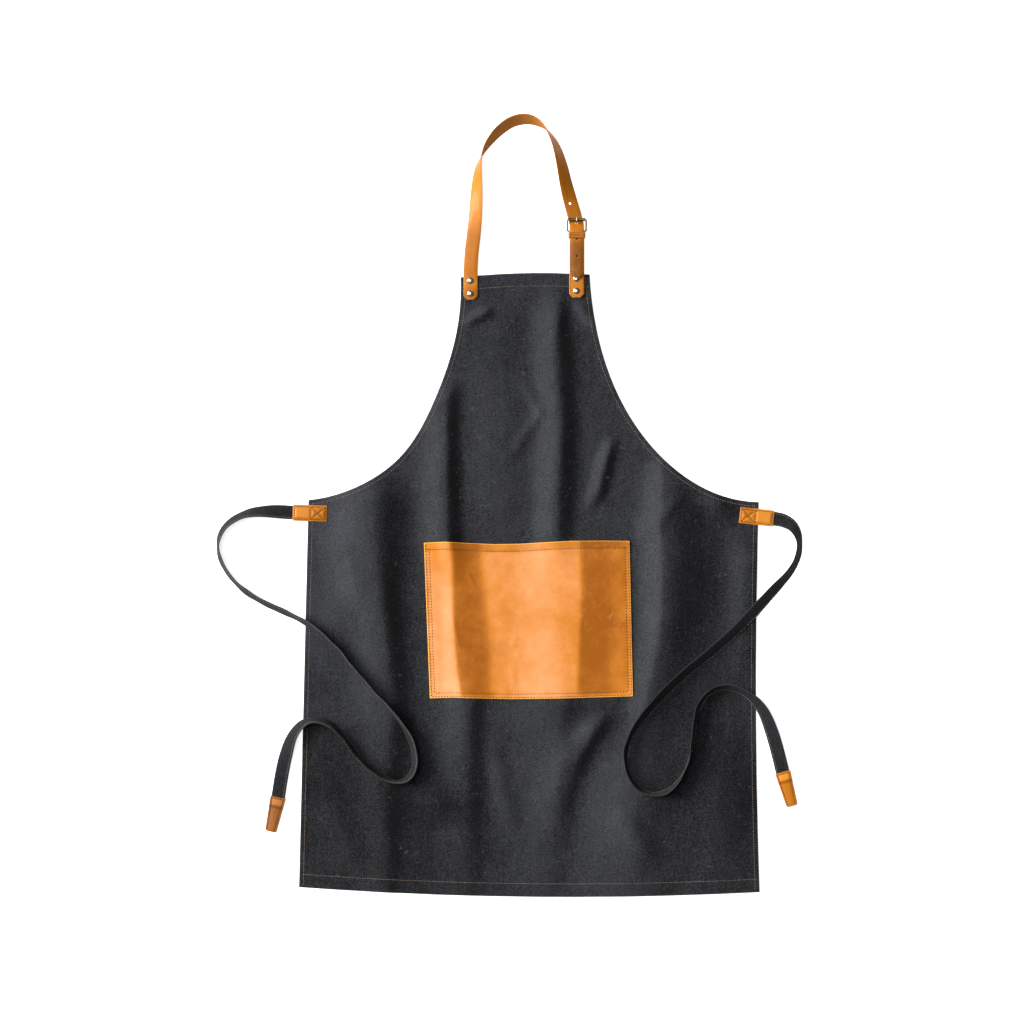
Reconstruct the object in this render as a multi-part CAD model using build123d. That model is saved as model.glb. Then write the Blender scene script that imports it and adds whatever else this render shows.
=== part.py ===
from build123d import *
import math
import os

# A canvas bib apron with a leather patch pocket, a riveted and buckled leather neck strap and
# two waist ties, lying face up. X runs across the apron, Y from hem to neck, Z up.
# The origin is the middle of the apron without its ties, on the surface it lies on.

# Cloth
CLOTH = 0.9  # one layer of canvas
HEM = 3 * CLOTH  # a hem is turned under twice
FACE = HEM  # height of the apron's face above the surface it lies on
SIDE_HEM_WIDTH = 8.0
END_HEM_WIDTH = 20.0  # top and bottom hems
BIB_LEFT = (-105.6, 331.0)
BIB_TOP_MIDDLE = (-20.0, 336.9)
BIB_RIGHT = (81.3, 334.9)
WAIST_LEFT = (-326.3, 8.0)
WAIST_RIGHT = (326.4, 5.1)
SKIRT_LEFT = (-340.0, -553.2)
SKIRT_BOTTOM_MIDDLE = (16.7, -567.3)
SKIRT_RIGHT = (327.7, -560.4)
SKIRT_RIGHT_MIDDLE = (322.6, -320.0)
ARMHOLE_LEFT = [(-110.9, 255.9), (-142.1, 156.5), (-195.2, 68.7), (-250.0, 30.0)]
ARMHOLE_RIGHT = [(87.1, 279.0), (116.0, 175.0), (166.9, 90.6), (243.2, 27.0)]

# Pocket
POCKET_CORNERS = [(-150.1, -277.7), (144.3, -277.7), (139.2, -53.0), (-158.8, -53.0)]
POCKET_LEATHER = 1.6
POCKET_ROOM = 4.6  # free height under the panel
POCKET_SEAM = 7.0  # width of the sewn border
POCKET_SLOPE = 12.0  # width over which the panel rises from its border

# Neck strap and buckle strap
STRAP_WIDTH = 20.5
STRAP = 2.0  # thickness
STRAP_HOLE_RADIUS = 2.0
STRAP_LEFT_X = -91.2
STRAP_LEFT_END_Y = 298.4
STRAP_FREE_Y = 343.0  # where the left end leaves the bib
END_CHAMFER = 5.0
BUCKLE_X = 62.6
BUCKLE_STRAP_WIDTH = 21.5
BUCKLE_STRAP_LEATHER = 1.8
BUCKLE_STRAP_END_Y = 301.4
TAIL_Z = 9.4
TAIL_TOP_Y = 396.0
TAIL_END_Y = 329.3
TAIL_HOLE_PITCH = 25.4
TAIL_FIRST_HOLE_Y = 361.0
UPPER_HOLE = (52.6, 437.5, 4.9)
PRONG_HOLE = (BUCKLE_X, 409.1, 5.6)
PRONG_HOLE_SLOPE = 14.0  # degrees

# The strap's course from the bib to the buckle: x, y, z of its middle, and how far it banks
STRAP_COURSE = [
    (-91.2, 343.0, 3.7, 0),
    (-89.6, 368.0, 3.8, 3),
    (-86.8, 392.0, 4.1, 9),
    (-84.2, 421.0, 5.3, 21),
    (-82.4, 453.0, 7.3, 35),
    (-81.6, 470.0, 8.4, 46),
    (-80.3, 485.5, 9.7, 60),
    (-78.4, 496.5, 10.4, 74),
    (-75.2, 506.5, 10.7, 90),
    (-69.6, 518.0, 10.2, 107),
    (-60.5, 531.0, 9.4, 121),
    (-47.0, 545.0, 8.7, 132),
    (-31.5, 555.4, 8.4, 135),
    (-16.0, 559.6, 8.4, 134),
    (-3.0, 558.6, 9.1, 126),
    (7.5, 553.8, 9.9, 112),
    (16.2, 546.8, 10.6, 93),
    (24.6, 536.0, 10.2, 75),
    (30.6, 525.5, 9.7, 63),
    (35.0, 514.5, 9.1, 54),
    (40.4, 496.0, 8.0, 42),
    (47.2, 465.0, 6.3, 26),
    (54.0, 438.5, 5.4, 11),
    (58.2, 424.0, 5.0, 2),
    (60.8, 414.1, 4.3, 0),
    (62.3, 407.6, 6.4, 0),
    (62.6, 401.4, 8.6, 0),
    (62.6, 396.0, 9.4, 0),
]

# Roller buckle
WIRE_RADIUS = 1.1
HEEL_Y = 397.5
HEEL_Z = 5.1
ROLLER_Y = 414.1
ROLLER_Z = 8.9
FRAME_WIDTH = 27.2  # between the middles of the side wires
FRAME_CORNER = 1.6
RUNNING_GAP = 0.05
ROLLER_RADIUS = 2.4
ROLLER_LENGTH = 23.6
PRONG_RADIUS = 0.95
PRONG_RING_RADIUS = 2.3
PRONG_RING_WIDTH = 2.4
PRONG_SLOT_WIDTH = 4.0
PRONG_SLOT_START_Y = 391.0
PRONG_COURSE = [(399.2, 4.1), (408.5, 3.1), (410.6, 12.95), (417.2, 12.4)]  # y, z
PRONG_BENDS = [1.6, 2.2]

# Keeper
KEEPER_LENGTH = 8.5
KEEPER_END_Y = 395.7
KEEPER_LEATHER = 1.2
KEEPER_GAP = 0.4
KEEPER_INSIDE_Z = (1.8, 10.8)

# Rivets
RIVET_RADIUS = 4.65
RIVET_RIM = 0.4
RIVET_DOME = 1.1
POST_RADIUS = 1.5
FLANGE_RADIUS = 4.4
FLANGE = 1.0
RIVET_ROOM = 0.3  # free space round a flange in the hem
LEFT_RIVETS = [(STRAP_LEFT_X, 307.0), (STRAP_LEFT_X, 325.7)]
RIGHT_RIVETS = [(BUCKLE_X, 310.8), (BUCKLE_X, 328.6)]

# Tie tabs: x, y of the middle and the turn about Z in degrees
TAB_LENGTH = 50.0
TAB_WIDTH = 23.6
TAB_LEATHER = 1.2
TAB_CORNER = 1.5
LEFT_TAB = (-324.1, -11.0, -1.9)
RIGHT_TAB = (323.5, -16.3, -6.0)

# Ties: a tape, stood for by a round tube of the same section
TAPE_WIDTH = 20.0
TAPE = 1.5
TUBE_RADIUS = math.sqrt(TAPE_WIDTH * TAPE / math.pi)
TAPE_IN_TAB = 22.0
TAPE_PAST_TAB = 1.5  # flat tape between the tab and the tube
LEFT_TIE = [
    (-349.9, -10.2, 3.4),
    (-366, -9.0, 3.5),
    (-388, -8.2, 5.0),
    (-412, -10.2, 8.0),
    (-434, -19, 10.0),
    (-450.5, -33.5, 10.6),
    (-458, -54, 10.8),
    (-455, -77, 10.8),
    (-441, -102, 10.8),
    (-420, -123.5, 10.6),
    (-390, -141.5, 10.4),
    (-356, -156, 11.0),
    (-320, -174.5, 12.8),
    (-285, -206.5, 13.0),
    (-252, -247.5, 13.0),
    (-218, -283.5, 13.0),
    (-189, -316.5, 13.0),
    (-172, -351, 13.0),
    (-171.5, -384, 13.0),
    (-189, -402, 13.0),
    (-216.5, -396, 13.0),
    (-249, -372.5, 13.0),
    (-274, -335.5, 13.0),
    (-298, -312.5, 13.0),
    (-328, -309, 12.5),
    (-349, -330, 10.5),
    (-360, -365, 6.0),
    (-366, -395, 3.5),
    (-370.1, -422.7, 3.4),
]
RIGHT_TIE = [
    (349.3, -19.1, 3.4),
    (362, -21, 3.5),
    (377.5, -30.5, 6.0),
    (386, -50, 10.0),
    (384, -74, 10.6),
    (372, -97, 10.6),
    (350, -120, 11.0),
    (324, -148.5, 12.6),
    (290, -185, 13.0),
    (250, -218.5, 13.0),
    (206, -254, 13.0),
    (168, -293.5, 13.0),
    (141, -328, 13.0),
    (131, -362, 13.0),
    (138, -395, 13.0),
    (160, -417, 13.0),
    (190, -418, 13.0),
    (213, -397, 13.0),
    (227.5, -364, 13.0),
    (231.5, -328, 13.0),
    (236, -294, 13.0),
    (252, -269.5, 13.0),
    (279, -260.5, 13.0),
    (308, -271, 12.5),
    (331, -292, 10.5),
    (345, -326, 6.0),
    (354, -357, 3.5),
    (361.1, -386.3, 3.4),
]

# Tie tips: root width, end width and length of the tapered leather end
TIP_ROOT = 22.8
TIP_END = 16.6
TIP_LENGTH = 51.2
TIP_THICKNESS = 3.9
TIP_CORNER = 2.5


def apron_face():
    """The apron's outline as one flat face."""
    top = ThreePointArc(BIB_LEFT, BIB_TOP_MIDDLE, BIB_RIGHT)
    right_armhole = Spline([BIB_RIGHT] + ARMHOLE_RIGHT + [WAIST_RIGHT])
    right_side = ThreePointArc(WAIST_RIGHT, SKIRT_RIGHT_MIDDLE, SKIRT_RIGHT)
    bottom = ThreePointArc(SKIRT_RIGHT, SKIRT_BOTTOM_MIDDLE, SKIRT_LEFT)
    left_side = Line(SKIRT_LEFT, WAIST_LEFT)
    left_armhole = Spline([WAIST_LEFT] + ARMHOLE_LEFT[::-1] + [BIB_LEFT])
    return make_face([top, right_armhole, right_side, bottom, left_side, left_armhole])


def hem_hollow(face):
    """The space under the single layer of cloth, between the turned hems."""
    inside = face
    for step in range(8):
        angle = math.radians(45 * step)
        shift = Pos(SIDE_HEM_WIDTH * math.cos(angle), SIDE_HEM_WIDTH * math.sin(angle))
        inside &= shift * face
    low = SKIRT_BOTTOM_MIDDLE[1] + END_HEM_WIDTH
    high = BIB_LEFT[1] + 4 - END_HEM_WIDTH
    band = Pos(0, (low + high) / 2) * Rectangle(900, high - low)
    return extrude(inside & band, HEM - CLOTH)


def apron_cloth():
    face = apron_face()
    cloth = extrude(face, HEM) - hem_hollow(face)
    for x, y in LEFT_RIVETS + RIGHT_RIVETS:
        cloth -= upright(x, y, 0, POST_RADIUS, HEM)
        cloth -= upright(x, y, 0, FLANGE_RADIUS + RIVET_ROOM, HEM - CLOTH)
    for place in (LEFT_TAB, RIGHT_TAB):
        cloth -= tab_layer(place, 0)
    return cloth


def upright(x, y, z, radius, height):
    """A cylinder standing on z at x, y."""
    return Pos(x, y, z + height / 2) * Cylinder(radius, height)


def inset_quad(corners, side, bottom, mouth):
    """The pocket's four corners moved in from its sides and its bottom and out at its mouth."""
    low_left, low_right, high_right, high_left = corners
    return [
        (low_left[0] + side, low_left[1] + bottom),
        (low_right[0] - side, low_right[1] + bottom),
        (high_right[0] - side, high_right[1] + mouth),
        (high_left[0] + side, high_left[1] + mouth),
    ]


def quad_at(corners, z):
    return Pos(0, 0, z) * make_face(Polyline(*corners, close=True))


def rising_block(low_inset, high_inset, low_z, high_z, mouth):
    """A block on the pocket's plan whose sides lean in from low_inset to high_inset."""
    low = quad_at(inset_quad(POCKET_CORNERS, low_inset, low_inset, mouth), low_z)
    high = quad_at(inset_quad(POCKET_CORNERS, high_inset, high_inset, mouth), high_z)
    return loft([low, high], ruled=True)


def pocket_panel():
    """A leather panel sewn down on three sides and raised between them, open at its top edge."""
    border = extrude(quad_at(POCKET_CORNERS, FACE), POCKET_LEATHER)
    top = FACE + POCKET_ROOM + POCKET_LEATHER
    rise = POCKET_SEAM + POCKET_SLOPE
    swell = rising_block(POCKET_SEAM, rise, FACE, top, 0)
    room_low = POCKET_SEAM + POCKET_LEATHER
    room = rising_block(room_low, rise + 1, FACE, FACE + POCKET_ROOM, 10)
    return border + swell - room


def banked_section(course, index, ends):
    """The strap's cross-section at one place of its course, square to its run."""
    x, y, z, bank = course[index]
    here = Vector(x, y, z)
    if index in ends:
        run = Vector(*ends[index])
    else:
        before = Vector(*course[index - 1][:3])
        after = Vector(*course[index + 1][:3])
        run = (after - before).normalized()
    outward = Vector(-run.Y, run.X, 0).normalized()
    upward = run.cross(outward)
    angle = math.radians(bank)
    across = outward * math.cos(angle) - upward * math.sin(angle)
    return Plane(here, x_dir=across, z_dir=run) * Rectangle(STRAP_WIDTH, STRAP)


def end_plate(x, end_y, start_y, width, thickness, low_z):
    """A flat strap end with both corners cut off, pointing down the bib."""
    half = width / 2
    outline = Polyline(
        (x - half, start_y),
        (x - half, end_y + END_CHAMFER),
        (x - half + END_CHAMFER, end_y),
        (x + half - END_CHAMFER, end_y),
        (x + half, end_y + END_CHAMFER),
        (x + half, start_y),
        close=True,
    )
    return extrude(Pos(0, 0, low_z) * make_face(outline), thickness)


def tail():
    """The strap's free end beyond the buckle, with a round tip."""
    radius = STRAP_WIDTH / 2
    round_y = TAIL_END_Y + radius
    length = TAIL_TOP_Y - round_y
    flat = Pos(BUCKLE_X, round_y + length / 2, TAIL_Z) * Box(STRAP_WIDTH, length, STRAP)
    return flat + Pos(BUCKLE_X, round_y, TAIL_Z) * Cylinder(radius, STRAP)


def strap_holes():
    drill = Cylinder(STRAP_HOLE_RADIUS, 4 * STRAP)
    holes = [Pos(BUCKLE_X, TAIL_FIRST_HOLE_Y + n * TAIL_HOLE_PITCH, TAIL_Z) * drill for n in (0, 1)]
    holes.append(Pos(*PRONG_HOLE) * Rot(-PRONG_HOLE_SLOPE, 0, 0) * drill)
    holes.append(Pos(*UPPER_HOLE) * Rot(0, 10, 0) * drill)
    return holes


def neck_strap():
    ends = {0: (0, 1, 0), len(STRAP_COURSE) - 1: (0, -1, 0)}
    places = range(len(STRAP_COURSE))
    band = loft([banked_section(STRAP_COURSE, n, ends) for n in places], ruled=True)
    strap = band + end_plate(STRAP_LEFT_X, STRAP_LEFT_END_Y, STRAP_FREE_Y, STRAP_WIDTH, STRAP, FACE)
    strap += tail()
    for hole in strap_holes():
        strap -= hole
    for x, y in LEFT_RIVETS:
        strap -= upright(x, y, FACE - 1, POST_RADIUS, STRAP + 2)
    return strap


def across_cylinder(y, z, radius, length):
    """A cylinder along X, centred on the buckle."""
    return Pos(BUCKLE_X, y, z) * Rot(0, 90, 0) * Cylinder(radius, length)


def buckle_strap():
    """One strap folded round the buckle's heel bar, both layers riveted to the bib."""
    doubled = 2 * BUCKLE_STRAP_LEATHER
    strap = end_plate(
        BUCKLE_X, BUCKLE_STRAP_END_Y, HEEL_Y, BUCKLE_STRAP_WIDTH, doubled, FACE
    )
    tunnel = WIRE_RADIUS + RUNNING_GAP
    strap += across_cylinder(HEEL_Y, HEEL_Z, tunnel + BUCKLE_STRAP_LEATHER, BUCKLE_STRAP_WIDTH)
    strap -= across_cylinder(HEEL_Y, HEEL_Z, tunnel, 2 * BUCKLE_STRAP_WIDTH)
    slot_length = 2 * (HEEL_Y - PRONG_SLOT_START_Y)
    slot_middle = PRONG_SLOT_START_Y + slot_length / 2
    strap -= Pos(BUCKLE_X, slot_middle, HEEL_Z) * Box(PRONG_SLOT_WIDTH, slot_length, 20)
    for x, y in RIGHT_RIVETS:
        strap -= upright(x, y, FACE - 1, POST_RADIUS, doubled + 2)
    return strap


def buckle_frame():
    """A closed loop of round wire, tipped up by the strap that runs under its roller bar."""
    rise = ROLLER_Z - HEEL_Z
    reach = ROLLER_Y - HEEL_Y
    middle = (BUCKLE_X, (HEEL_Y + ROLLER_Y) / 2, (HEEL_Z + ROLLER_Z) / 2)
    plane = Plane(middle, x_dir=(1, 0, 0), z_dir=(0, -rise, reach))
    loop = plane * RectangleRounded(FRAME_WIDTH, math.hypot(rise, reach), FRAME_CORNER)
    path = loop.wire()
    section = Plane(path @ 0, z_dir=path % 0) * Circle(WIRE_RADIUS)
    return sweep(section, path=path)


def buckle_roller():
    roller = across_cylinder(ROLLER_Y, ROLLER_Z, ROLLER_RADIUS, ROLLER_LENGTH)
    return roller - across_cylinder(ROLLER_Y, ROLLER_Z, WIRE_RADIUS + RUNNING_GAP, FRAME_WIDTH)


def buckle_prong():
    """A bent wire with a ring round the heel bar, through the strap and over the roller."""
    path = FilletPolyline(*[(BUCKLE_X, y, z) for y, z in PRONG_COURSE], radius=PRONG_BENDS)
    section = Plane(path @ 0, z_dir=path % 0) * Circle(PRONG_RADIUS)
    shank = sweep(section, path=path)
    end = path @ 1
    shank += Pos(*end) * Sphere(PRONG_RADIUS)
    ring = across_cylinder(HEEL_Y, HEEL_Z, PRONG_RING_RADIUS, PRONG_RING_WIDTH)
    return ring + shank - across_cylinder(HEEL_Y, HEEL_Z, WIRE_RADIUS + RUNNING_GAP, FRAME_WIDTH)


def strap_keeper():
    """A leather loop round the buckle strap and the tail."""
    low, high = KEEPER_INSIDE_Z
    inside = BUCKLE_STRAP_WIDTH + 2 * KEEPER_GAP
    middle = (BUCKLE_X, KEEPER_END_Y - KEEPER_LENGTH / 2, (low + high) / 2)
    wall = 2 * KEEPER_LEATHER
    outer = Box(inside + wall, KEEPER_LENGTH, high - low + wall)
    outer = fillet(outer.edges().filter_by(Axis.Y), KEEPER_LEATHER)
    return Pos(*middle) * (outer - Box(inside, 2 * KEEPER_LENGTH, high - low))


def rivet_cap(x, y, z):
    """A low domed rivet head on its rim."""
    ball = (RIVET_RADIUS**2 + RIVET_DOME**2) / (2 * RIVET_DOME)
    dome = Pos(x, y, z + RIVET_RIM + RIVET_DOME - ball) * Sphere(ball)
    slab = Pos(x, y, z + RIVET_RIM + RIVET_DOME / 2) * Box(20, 20, RIVET_DOME)
    return upright(x, y, z, RIVET_RADIUS, RIVET_RIM) + (dome & slab)


def rivet_back(x, y, top):
    """The flange behind the cloth with the post that reaches the cap."""
    base = FACE - CLOTH
    flange = upright(x, y, base - FLANGE, FLANGE_RADIUS, FLANGE)
    return flange + upright(x, y, base, POST_RADIUS, top - base)


def tab_layer(place, z):
    """One leather layer of a tie tab, lying on z."""
    x, y, turn = place
    outline = RectangleRounded(TAB_LENGTH, TAB_WIDTH, TAB_CORNER)
    return extrude(Pos(x, y, z) * Rot(0, 0, turn) * outline, TAB_LEATHER)


def bend_radii(points):
    """The largest arc that each corner of a route has room for."""
    radii = []
    for before, here, after in zip(points, points[1:], points[2:]):
        run_in = Vector(*here) - Vector(*before)
        run_out = Vector(*after) - Vector(*here)
        half_turn = math.radians(run_in.get_angle(run_out) / 2)
        radii.append(0.45 * min(run_in.length, run_out.length) / math.tan(half_turn))
    return radii


def tie_tape(name, points, place, side):
    """A tie's free run as a tube, with the flat end that the tab's two layers hold."""
    radii = bend_radii(points)
    path = FilletPolyline(*points, radius=radii)
    section = Plane(path @ 0, z_dir=path % 0) * Circle(TUBE_RADIUS)
    tube = sweep(section, path=path)
    length = sum(edge.length for edge in path.edges())
    expected = math.pi * TUBE_RADIUS**2 * length
    print(name, "length", round(length, 1), "volume share", round(tube.volume / expected, 4))
    print(name, "radii", [round(radius, 1) for radius in radii])
    x, y, turn = place
    flat_length = TAPE_IN_TAB + TAPE_PAST_TAB
    middle = side * (TAB_LENGTH / 2 + TAPE_PAST_TAB - flat_length / 2)
    flat = Pos(middle, 0, 0) * Box(flat_length, TAPE_WIDTH, TAPE)
    return tube + Pos(x, y, TAB_LEATHER + TAPE / 2) * Rot(0, 0, turn) * flat


def tie_tip(points):
    """The tapered leather end of a tie, in line with the tie's last run."""
    root = Vector(*points[-1])
    run = root - Vector(*points[-2])
    turn = math.degrees(math.atan2(run.Y, run.X))
    outline = Polyline(
        (0, -TIP_ROOT / 2),
        (TIP_LENGTH, -TIP_END / 2),
        (TIP_LENGTH, TIP_END / 2),
        (0, TIP_ROOT / 2),
        close=True,
    )
    tip = extrude(make_face(outline), TIP_THICKNESS)
    far_edges = tip.edges().filter_by(Axis.Z).sort_by(Axis.X)[-2:]
    tip = fillet(far_edges, TIP_CORNER)
    return Pos(root.X, root.Y, 0) * Rot(0, 0, turn) * tip


def build():
    """Every sub-part, by its node's name."""
    left_top = FACE + STRAP
    right_top = FACE + 2 * BUCKLE_STRAP_LEATHER
    return {
        "apron_cloth": apron_cloth(),
        "pocket_panel": pocket_panel(),
        "neck_strap": neck_strap(),
        "buckle_strap": buckle_strap(),
        "buckle_frame": buckle_frame(),
        "buckle_roller": buckle_roller(),
        "buckle_prong": buckle_prong(),
        "strap_keeper": strap_keeper(),
        "neck_strap_rivet_caps": Compound([rivet_cap(x, y, left_top) for x, y in LEFT_RIVETS]),
        "neck_strap_rivet_backs": Compound([rivet_back(x, y, left_top) for x, y in LEFT_RIVETS]),
        "buckle_strap_rivet_caps": Compound([rivet_cap(x, y, right_top) for x, y in RIGHT_RIVETS]),
        "buckle_strap_rivet_backs": Compound(
            [rivet_back(x, y, right_top) for x, y in RIGHT_RIVETS]
        ),
        "left_tab_front": tab_layer(LEFT_TAB, FACE),
        "left_tab_back": tab_layer(LEFT_TAB, 0),
        "right_tab_front": tab_layer(RIGHT_TAB, FACE),
        "right_tab_back": tab_layer(RIGHT_TAB, 0),
        "left_tie_tape": tie_tape("left tie", LEFT_TIE, LEFT_TAB, -1),
        "right_tie_tape": tie_tape("right tie", RIGHT_TIE, RIGHT_TAB, 1),
        "left_tie_tip": tie_tip(LEFT_TIE),
        "right_tie_tip": tie_tip(RIGHT_TIE),
    }


os.makedirs("parts", exist_ok=True)
for node, shape in build().items():
    export_step(shape, f"parts/{node}.step")
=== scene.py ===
import math

import bpy
import numpy as np
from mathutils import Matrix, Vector
from mathutils.geometry import delaunay_2d_cdt


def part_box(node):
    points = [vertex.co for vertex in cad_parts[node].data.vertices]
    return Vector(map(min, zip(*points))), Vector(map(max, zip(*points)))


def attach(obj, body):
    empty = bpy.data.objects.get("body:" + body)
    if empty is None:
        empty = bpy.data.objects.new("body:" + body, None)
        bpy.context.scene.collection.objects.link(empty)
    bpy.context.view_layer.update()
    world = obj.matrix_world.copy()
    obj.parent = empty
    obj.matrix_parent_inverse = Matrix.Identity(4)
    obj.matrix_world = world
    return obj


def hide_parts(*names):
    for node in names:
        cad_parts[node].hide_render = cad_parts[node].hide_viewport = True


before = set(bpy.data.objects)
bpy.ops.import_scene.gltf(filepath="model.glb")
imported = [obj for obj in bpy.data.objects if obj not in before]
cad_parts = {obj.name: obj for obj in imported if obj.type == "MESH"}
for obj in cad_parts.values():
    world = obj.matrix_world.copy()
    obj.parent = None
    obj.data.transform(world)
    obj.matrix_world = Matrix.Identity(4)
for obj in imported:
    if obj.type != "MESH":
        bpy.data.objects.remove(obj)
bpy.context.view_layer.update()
scene = bpy.context.scene

MM = 0.001
X, Y, Z = np.eye(3)


def corners_of(node):
    """Lowest and highest corner of a CAD node as arrays."""
    low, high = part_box(node)
    return np.array(low), np.array(high)


# ---------------------------------------------------------------- camera
# It looks straight down on the apron, as laid out on a table.

VIEW_WIDTH = 1.4848  # metres across the picture at the table
CAMERA_HEIGHT = 6.0
CAMERA_X, CAMERA_Y = -0.0312, -0.0094

camera_data = bpy.data.cameras.new("camera")
camera_data.sensor_width = 36.0
camera_data.lens = camera_data.sensor_width * CAMERA_HEIGHT / VIEW_WIDTH
camera_data.clip_end = 50.0
camera = bpy.data.objects.new("camera", camera_data)
camera.location = (CAMERA_X, CAMERA_Y, CAMERA_HEIGHT)
scene.collection.objects.link(camera)
scene.camera = camera

# ---------------------------------------------------------------- materials

# On the cloth, pocket, strap, tapes and leather ends much of this attribute is painted light and shade
SHADE = "shade"  # the mesh attribute that paints a piece lighter or darker

class Shader:
    """Short names for building one node material."""

    def __init__(self, name):
        self.material = bpy.data.materials.new(name)
        self.material.use_nodes = True
        self.tree = self.material.node_tree
        self.bsdf = self.tree.nodes["Principled BSDF"]
        self.coords = self.node("TexCoord").outputs["Object"]

    def feed(self, socket, value):
        """Links an output to a socket, or sets the socket to a number or a colour."""
        if isinstance(value, bpy.types.NodeSocket):
            self.tree.links.new(value, socket)
        elif socket.type == "RGBA":
            socket.default_value = (*value, 1.0)
        else:
            socket.default_value = value

    def set(self, **values):
        """Feeds the surface's own sockets, named with _ for a space."""
        for name, value in values.items():
            self.feed(self.bsdf.inputs[name.replace("_", " ")], value)

    def node(self, kind, inputs=None, **settings):
        """A new node with its settings, and its inputs by name or number."""
        node = self.tree.nodes.new("ShaderNode" + kind)
        for name, value in settings.items():
            setattr(node, name, value)
        for key, value in (inputs or {}).items():
            self.feed(node.inputs[key], value)
        return node

    def stretched(self, x, y, z):
        return self.node("Mapping", {"Vector": self.coords, "Scale": (x, y, z)}).outputs["Vector"]

    def noise(self, scale, detail, roughness=0.55, vector=None, distortion=0.0):
        inputs = {"Vector": vector or self.coords, "Scale": scale, "Detail": detail,
                  "Roughness": roughness, "Distortion": distortion}
        return self.node("TexNoise", inputs).outputs["Fac"]

    def wave(self, period, direction, distortion):
        """Bands a period in metres apart."""
        inputs = {"Vector": self.coords, "Scale": 2 * math.pi / (20 * period),
                  "Distortion": distortion, "Detail": 0.0}
        return self.node("TexWave", inputs, bands_direction=direction).outputs["Fac"]

    def cells(self, scale):
        return self.node("TexVoronoi", {"Vector": self.coords, "Scale": scale}).outputs["Distance"]

    def shade(self):
        """The tone painted on the mesh, much of it painted light and shade: lighter above 0 and darker
        below it.
        """
        return self.node("Attribute", attribute_name=SHADE).outputs["Fac"]

    def math(self, operation, a, b=0.0):
        return self.node("Math", {0: a, 1: b}, operation=operation).outputs[0]

    def total(self, *parts):
        """The sum of value times weight over (value, weight) pairs."""
        out = 0.0
        for value, weight in parts:
            out = self.math("ADD", self.math("MULTIPLY", value, weight), out)
        return out

    def spread(self, value, low, high, to_low=0.0, to_high=1.0):
        """A value's range from low to high, eased into another range."""
        inputs = {"Value": value, "From Min": low, "From Max": high,
                  "To Min": to_low, "To Max": to_high}
        return self.node("MapRange", inputs, interpolation_type="SMOOTHSTEP").outputs["Result"]

    def ramp(self, value, *stops):
        node = self.node("ValToRGB", {"Fac": value})
        elements = node.color_ramp.elements
        while len(elements) < len(stops):
            elements.new(0.5)
        for element, (position, colour) in zip(elements, stops):
            element.position = position
            element.color = (*colour, 1.0)
        return node.outputs["Color"]

    def mix(self, factor, a, b):
        return self.node("Mix", {0: factor, 6: a, 7: b}, data_type="RGBA").outputs[2]

    def bump(self, *layers):
        """Bumps of (height, strength, depth in metres), one over the other."""
        below = {}
        for height, strength, depth in layers:
            inputs = {"Height": height, "Strength": strength, "Distance": depth, **below}
            below = {"Normal": self.node("Bump", inputs).outputs["Normal"]}
        self.set(**below)


YARN = 0.9 * MM  # from one yarn of the canvas to the next


def canvas_material(name, dark, light):
    """Washed cotton canvas: plain weave, heathered yarn, faint scuffs, and light and shade painted from
    the mesh's shade attribute.
    """
    s = Shader(name)
    heather = s.noise(430, 4.0, 0.75)
    flecks = s.noise(900, 2.0, 0.8)
    clouds = s.noise(22, 4.0, 0.6)
    streaks = s.noise(1.0, 3.0, 0.6, vector=s.stretched(190, 40, 100))
    tone = s.total(
        (heather, 1.6), (flecks, 1.3), (clouds, 0.25), (streaks, 0.3), (s.shade(), 1.25), (1.0, -1.1)
    )
    colour = s.ramp(s.math("MULTIPLY", tone, 0.5), (0.15, dark), (0.65, light))
    scuffs = s.noise(70, 2.0, 0.5, distortion=3.0)
    scuff = s.math("MULTIPLY", s.spread(scuffs, 0.64, 0.76), 0.3)
    s.set(Base_Color=s.mix(scuff, colour, tuple(1.6 * c for c in light)))
    s.set(Roughness=0.85, Sheen_Weight=0.03, Sheen_Roughness=0.5, Specular_IOR_Level=0.12)
    weave = s.math("MULTIPLY", s.wave(YARN, "X", 0.6), s.wave(YARN, "Y", 0.6))
    s.bump((clouds, 0.35, 0.0012), (heather, 0.35, 0.0005), (weave, 0.45, 0.0002))
    return s.material


def leather_material(name, dark, mid, light, rough, coat, grain=1.0, mottled=0.3):
    """Leather: soft clouds of tone, fine grain, faint veins and scratches, and light and shade painted
    from the mesh's shade attribute.
    """
    s = Shader(name)
    clouds = s.noise(9, 3.0, 0.55, distortion=0.5)
    mottle = s.noise(55, 4.0, 0.65)
    tone = s.total((clouds, 0.5), (mottle, mottled), (s.shade(), 1.0), (1.0, 0.25 - mottled / 2))
    colour = s.ramp(tone, (0.22, dark), (0.5, mid), (0.8, light))
    scratches = s.noise(1.0, 2.0, 0.5, vector=s.stretched(420, 55, 300), distortion=1.2)
    vein_noise = s.noise(1.0, 2.0, 0.5, vector=s.stretched(60, 30, 40), distortion=0.7)
    veins = s.spread(s.math("ABSOLUTE", s.math("SUBTRACT", vein_noise, 0.5)), 0.0, 0.02, 1, 0)
    patches = s.spread(s.noise(16, 2.0, 0.5), 0.44, 0.66)
    faint = s.math("MULTIPLY", s.math("MULTIPLY", veins, patches), 0.2)
    scratch = s.math("MAXIMUM", s.math("MULTIPLY", s.spread(scratches, 0.66, 0.78), 0.4), faint)
    s.set(Base_Color=s.mix(scratch, colour, light))
    s.set(Roughness=s.spread(clouds, 0.3, 0.7, rough - 0.03, rough + 0.06))
    s.set(Coat_Weight=coat, Coat_Roughness=0.15, Specular_IOR_Level=0.1 + 0.4 * coat)
    s.bump((s.cells(1500), 0.3 * grain, 0.00010))
    return s.material


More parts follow.
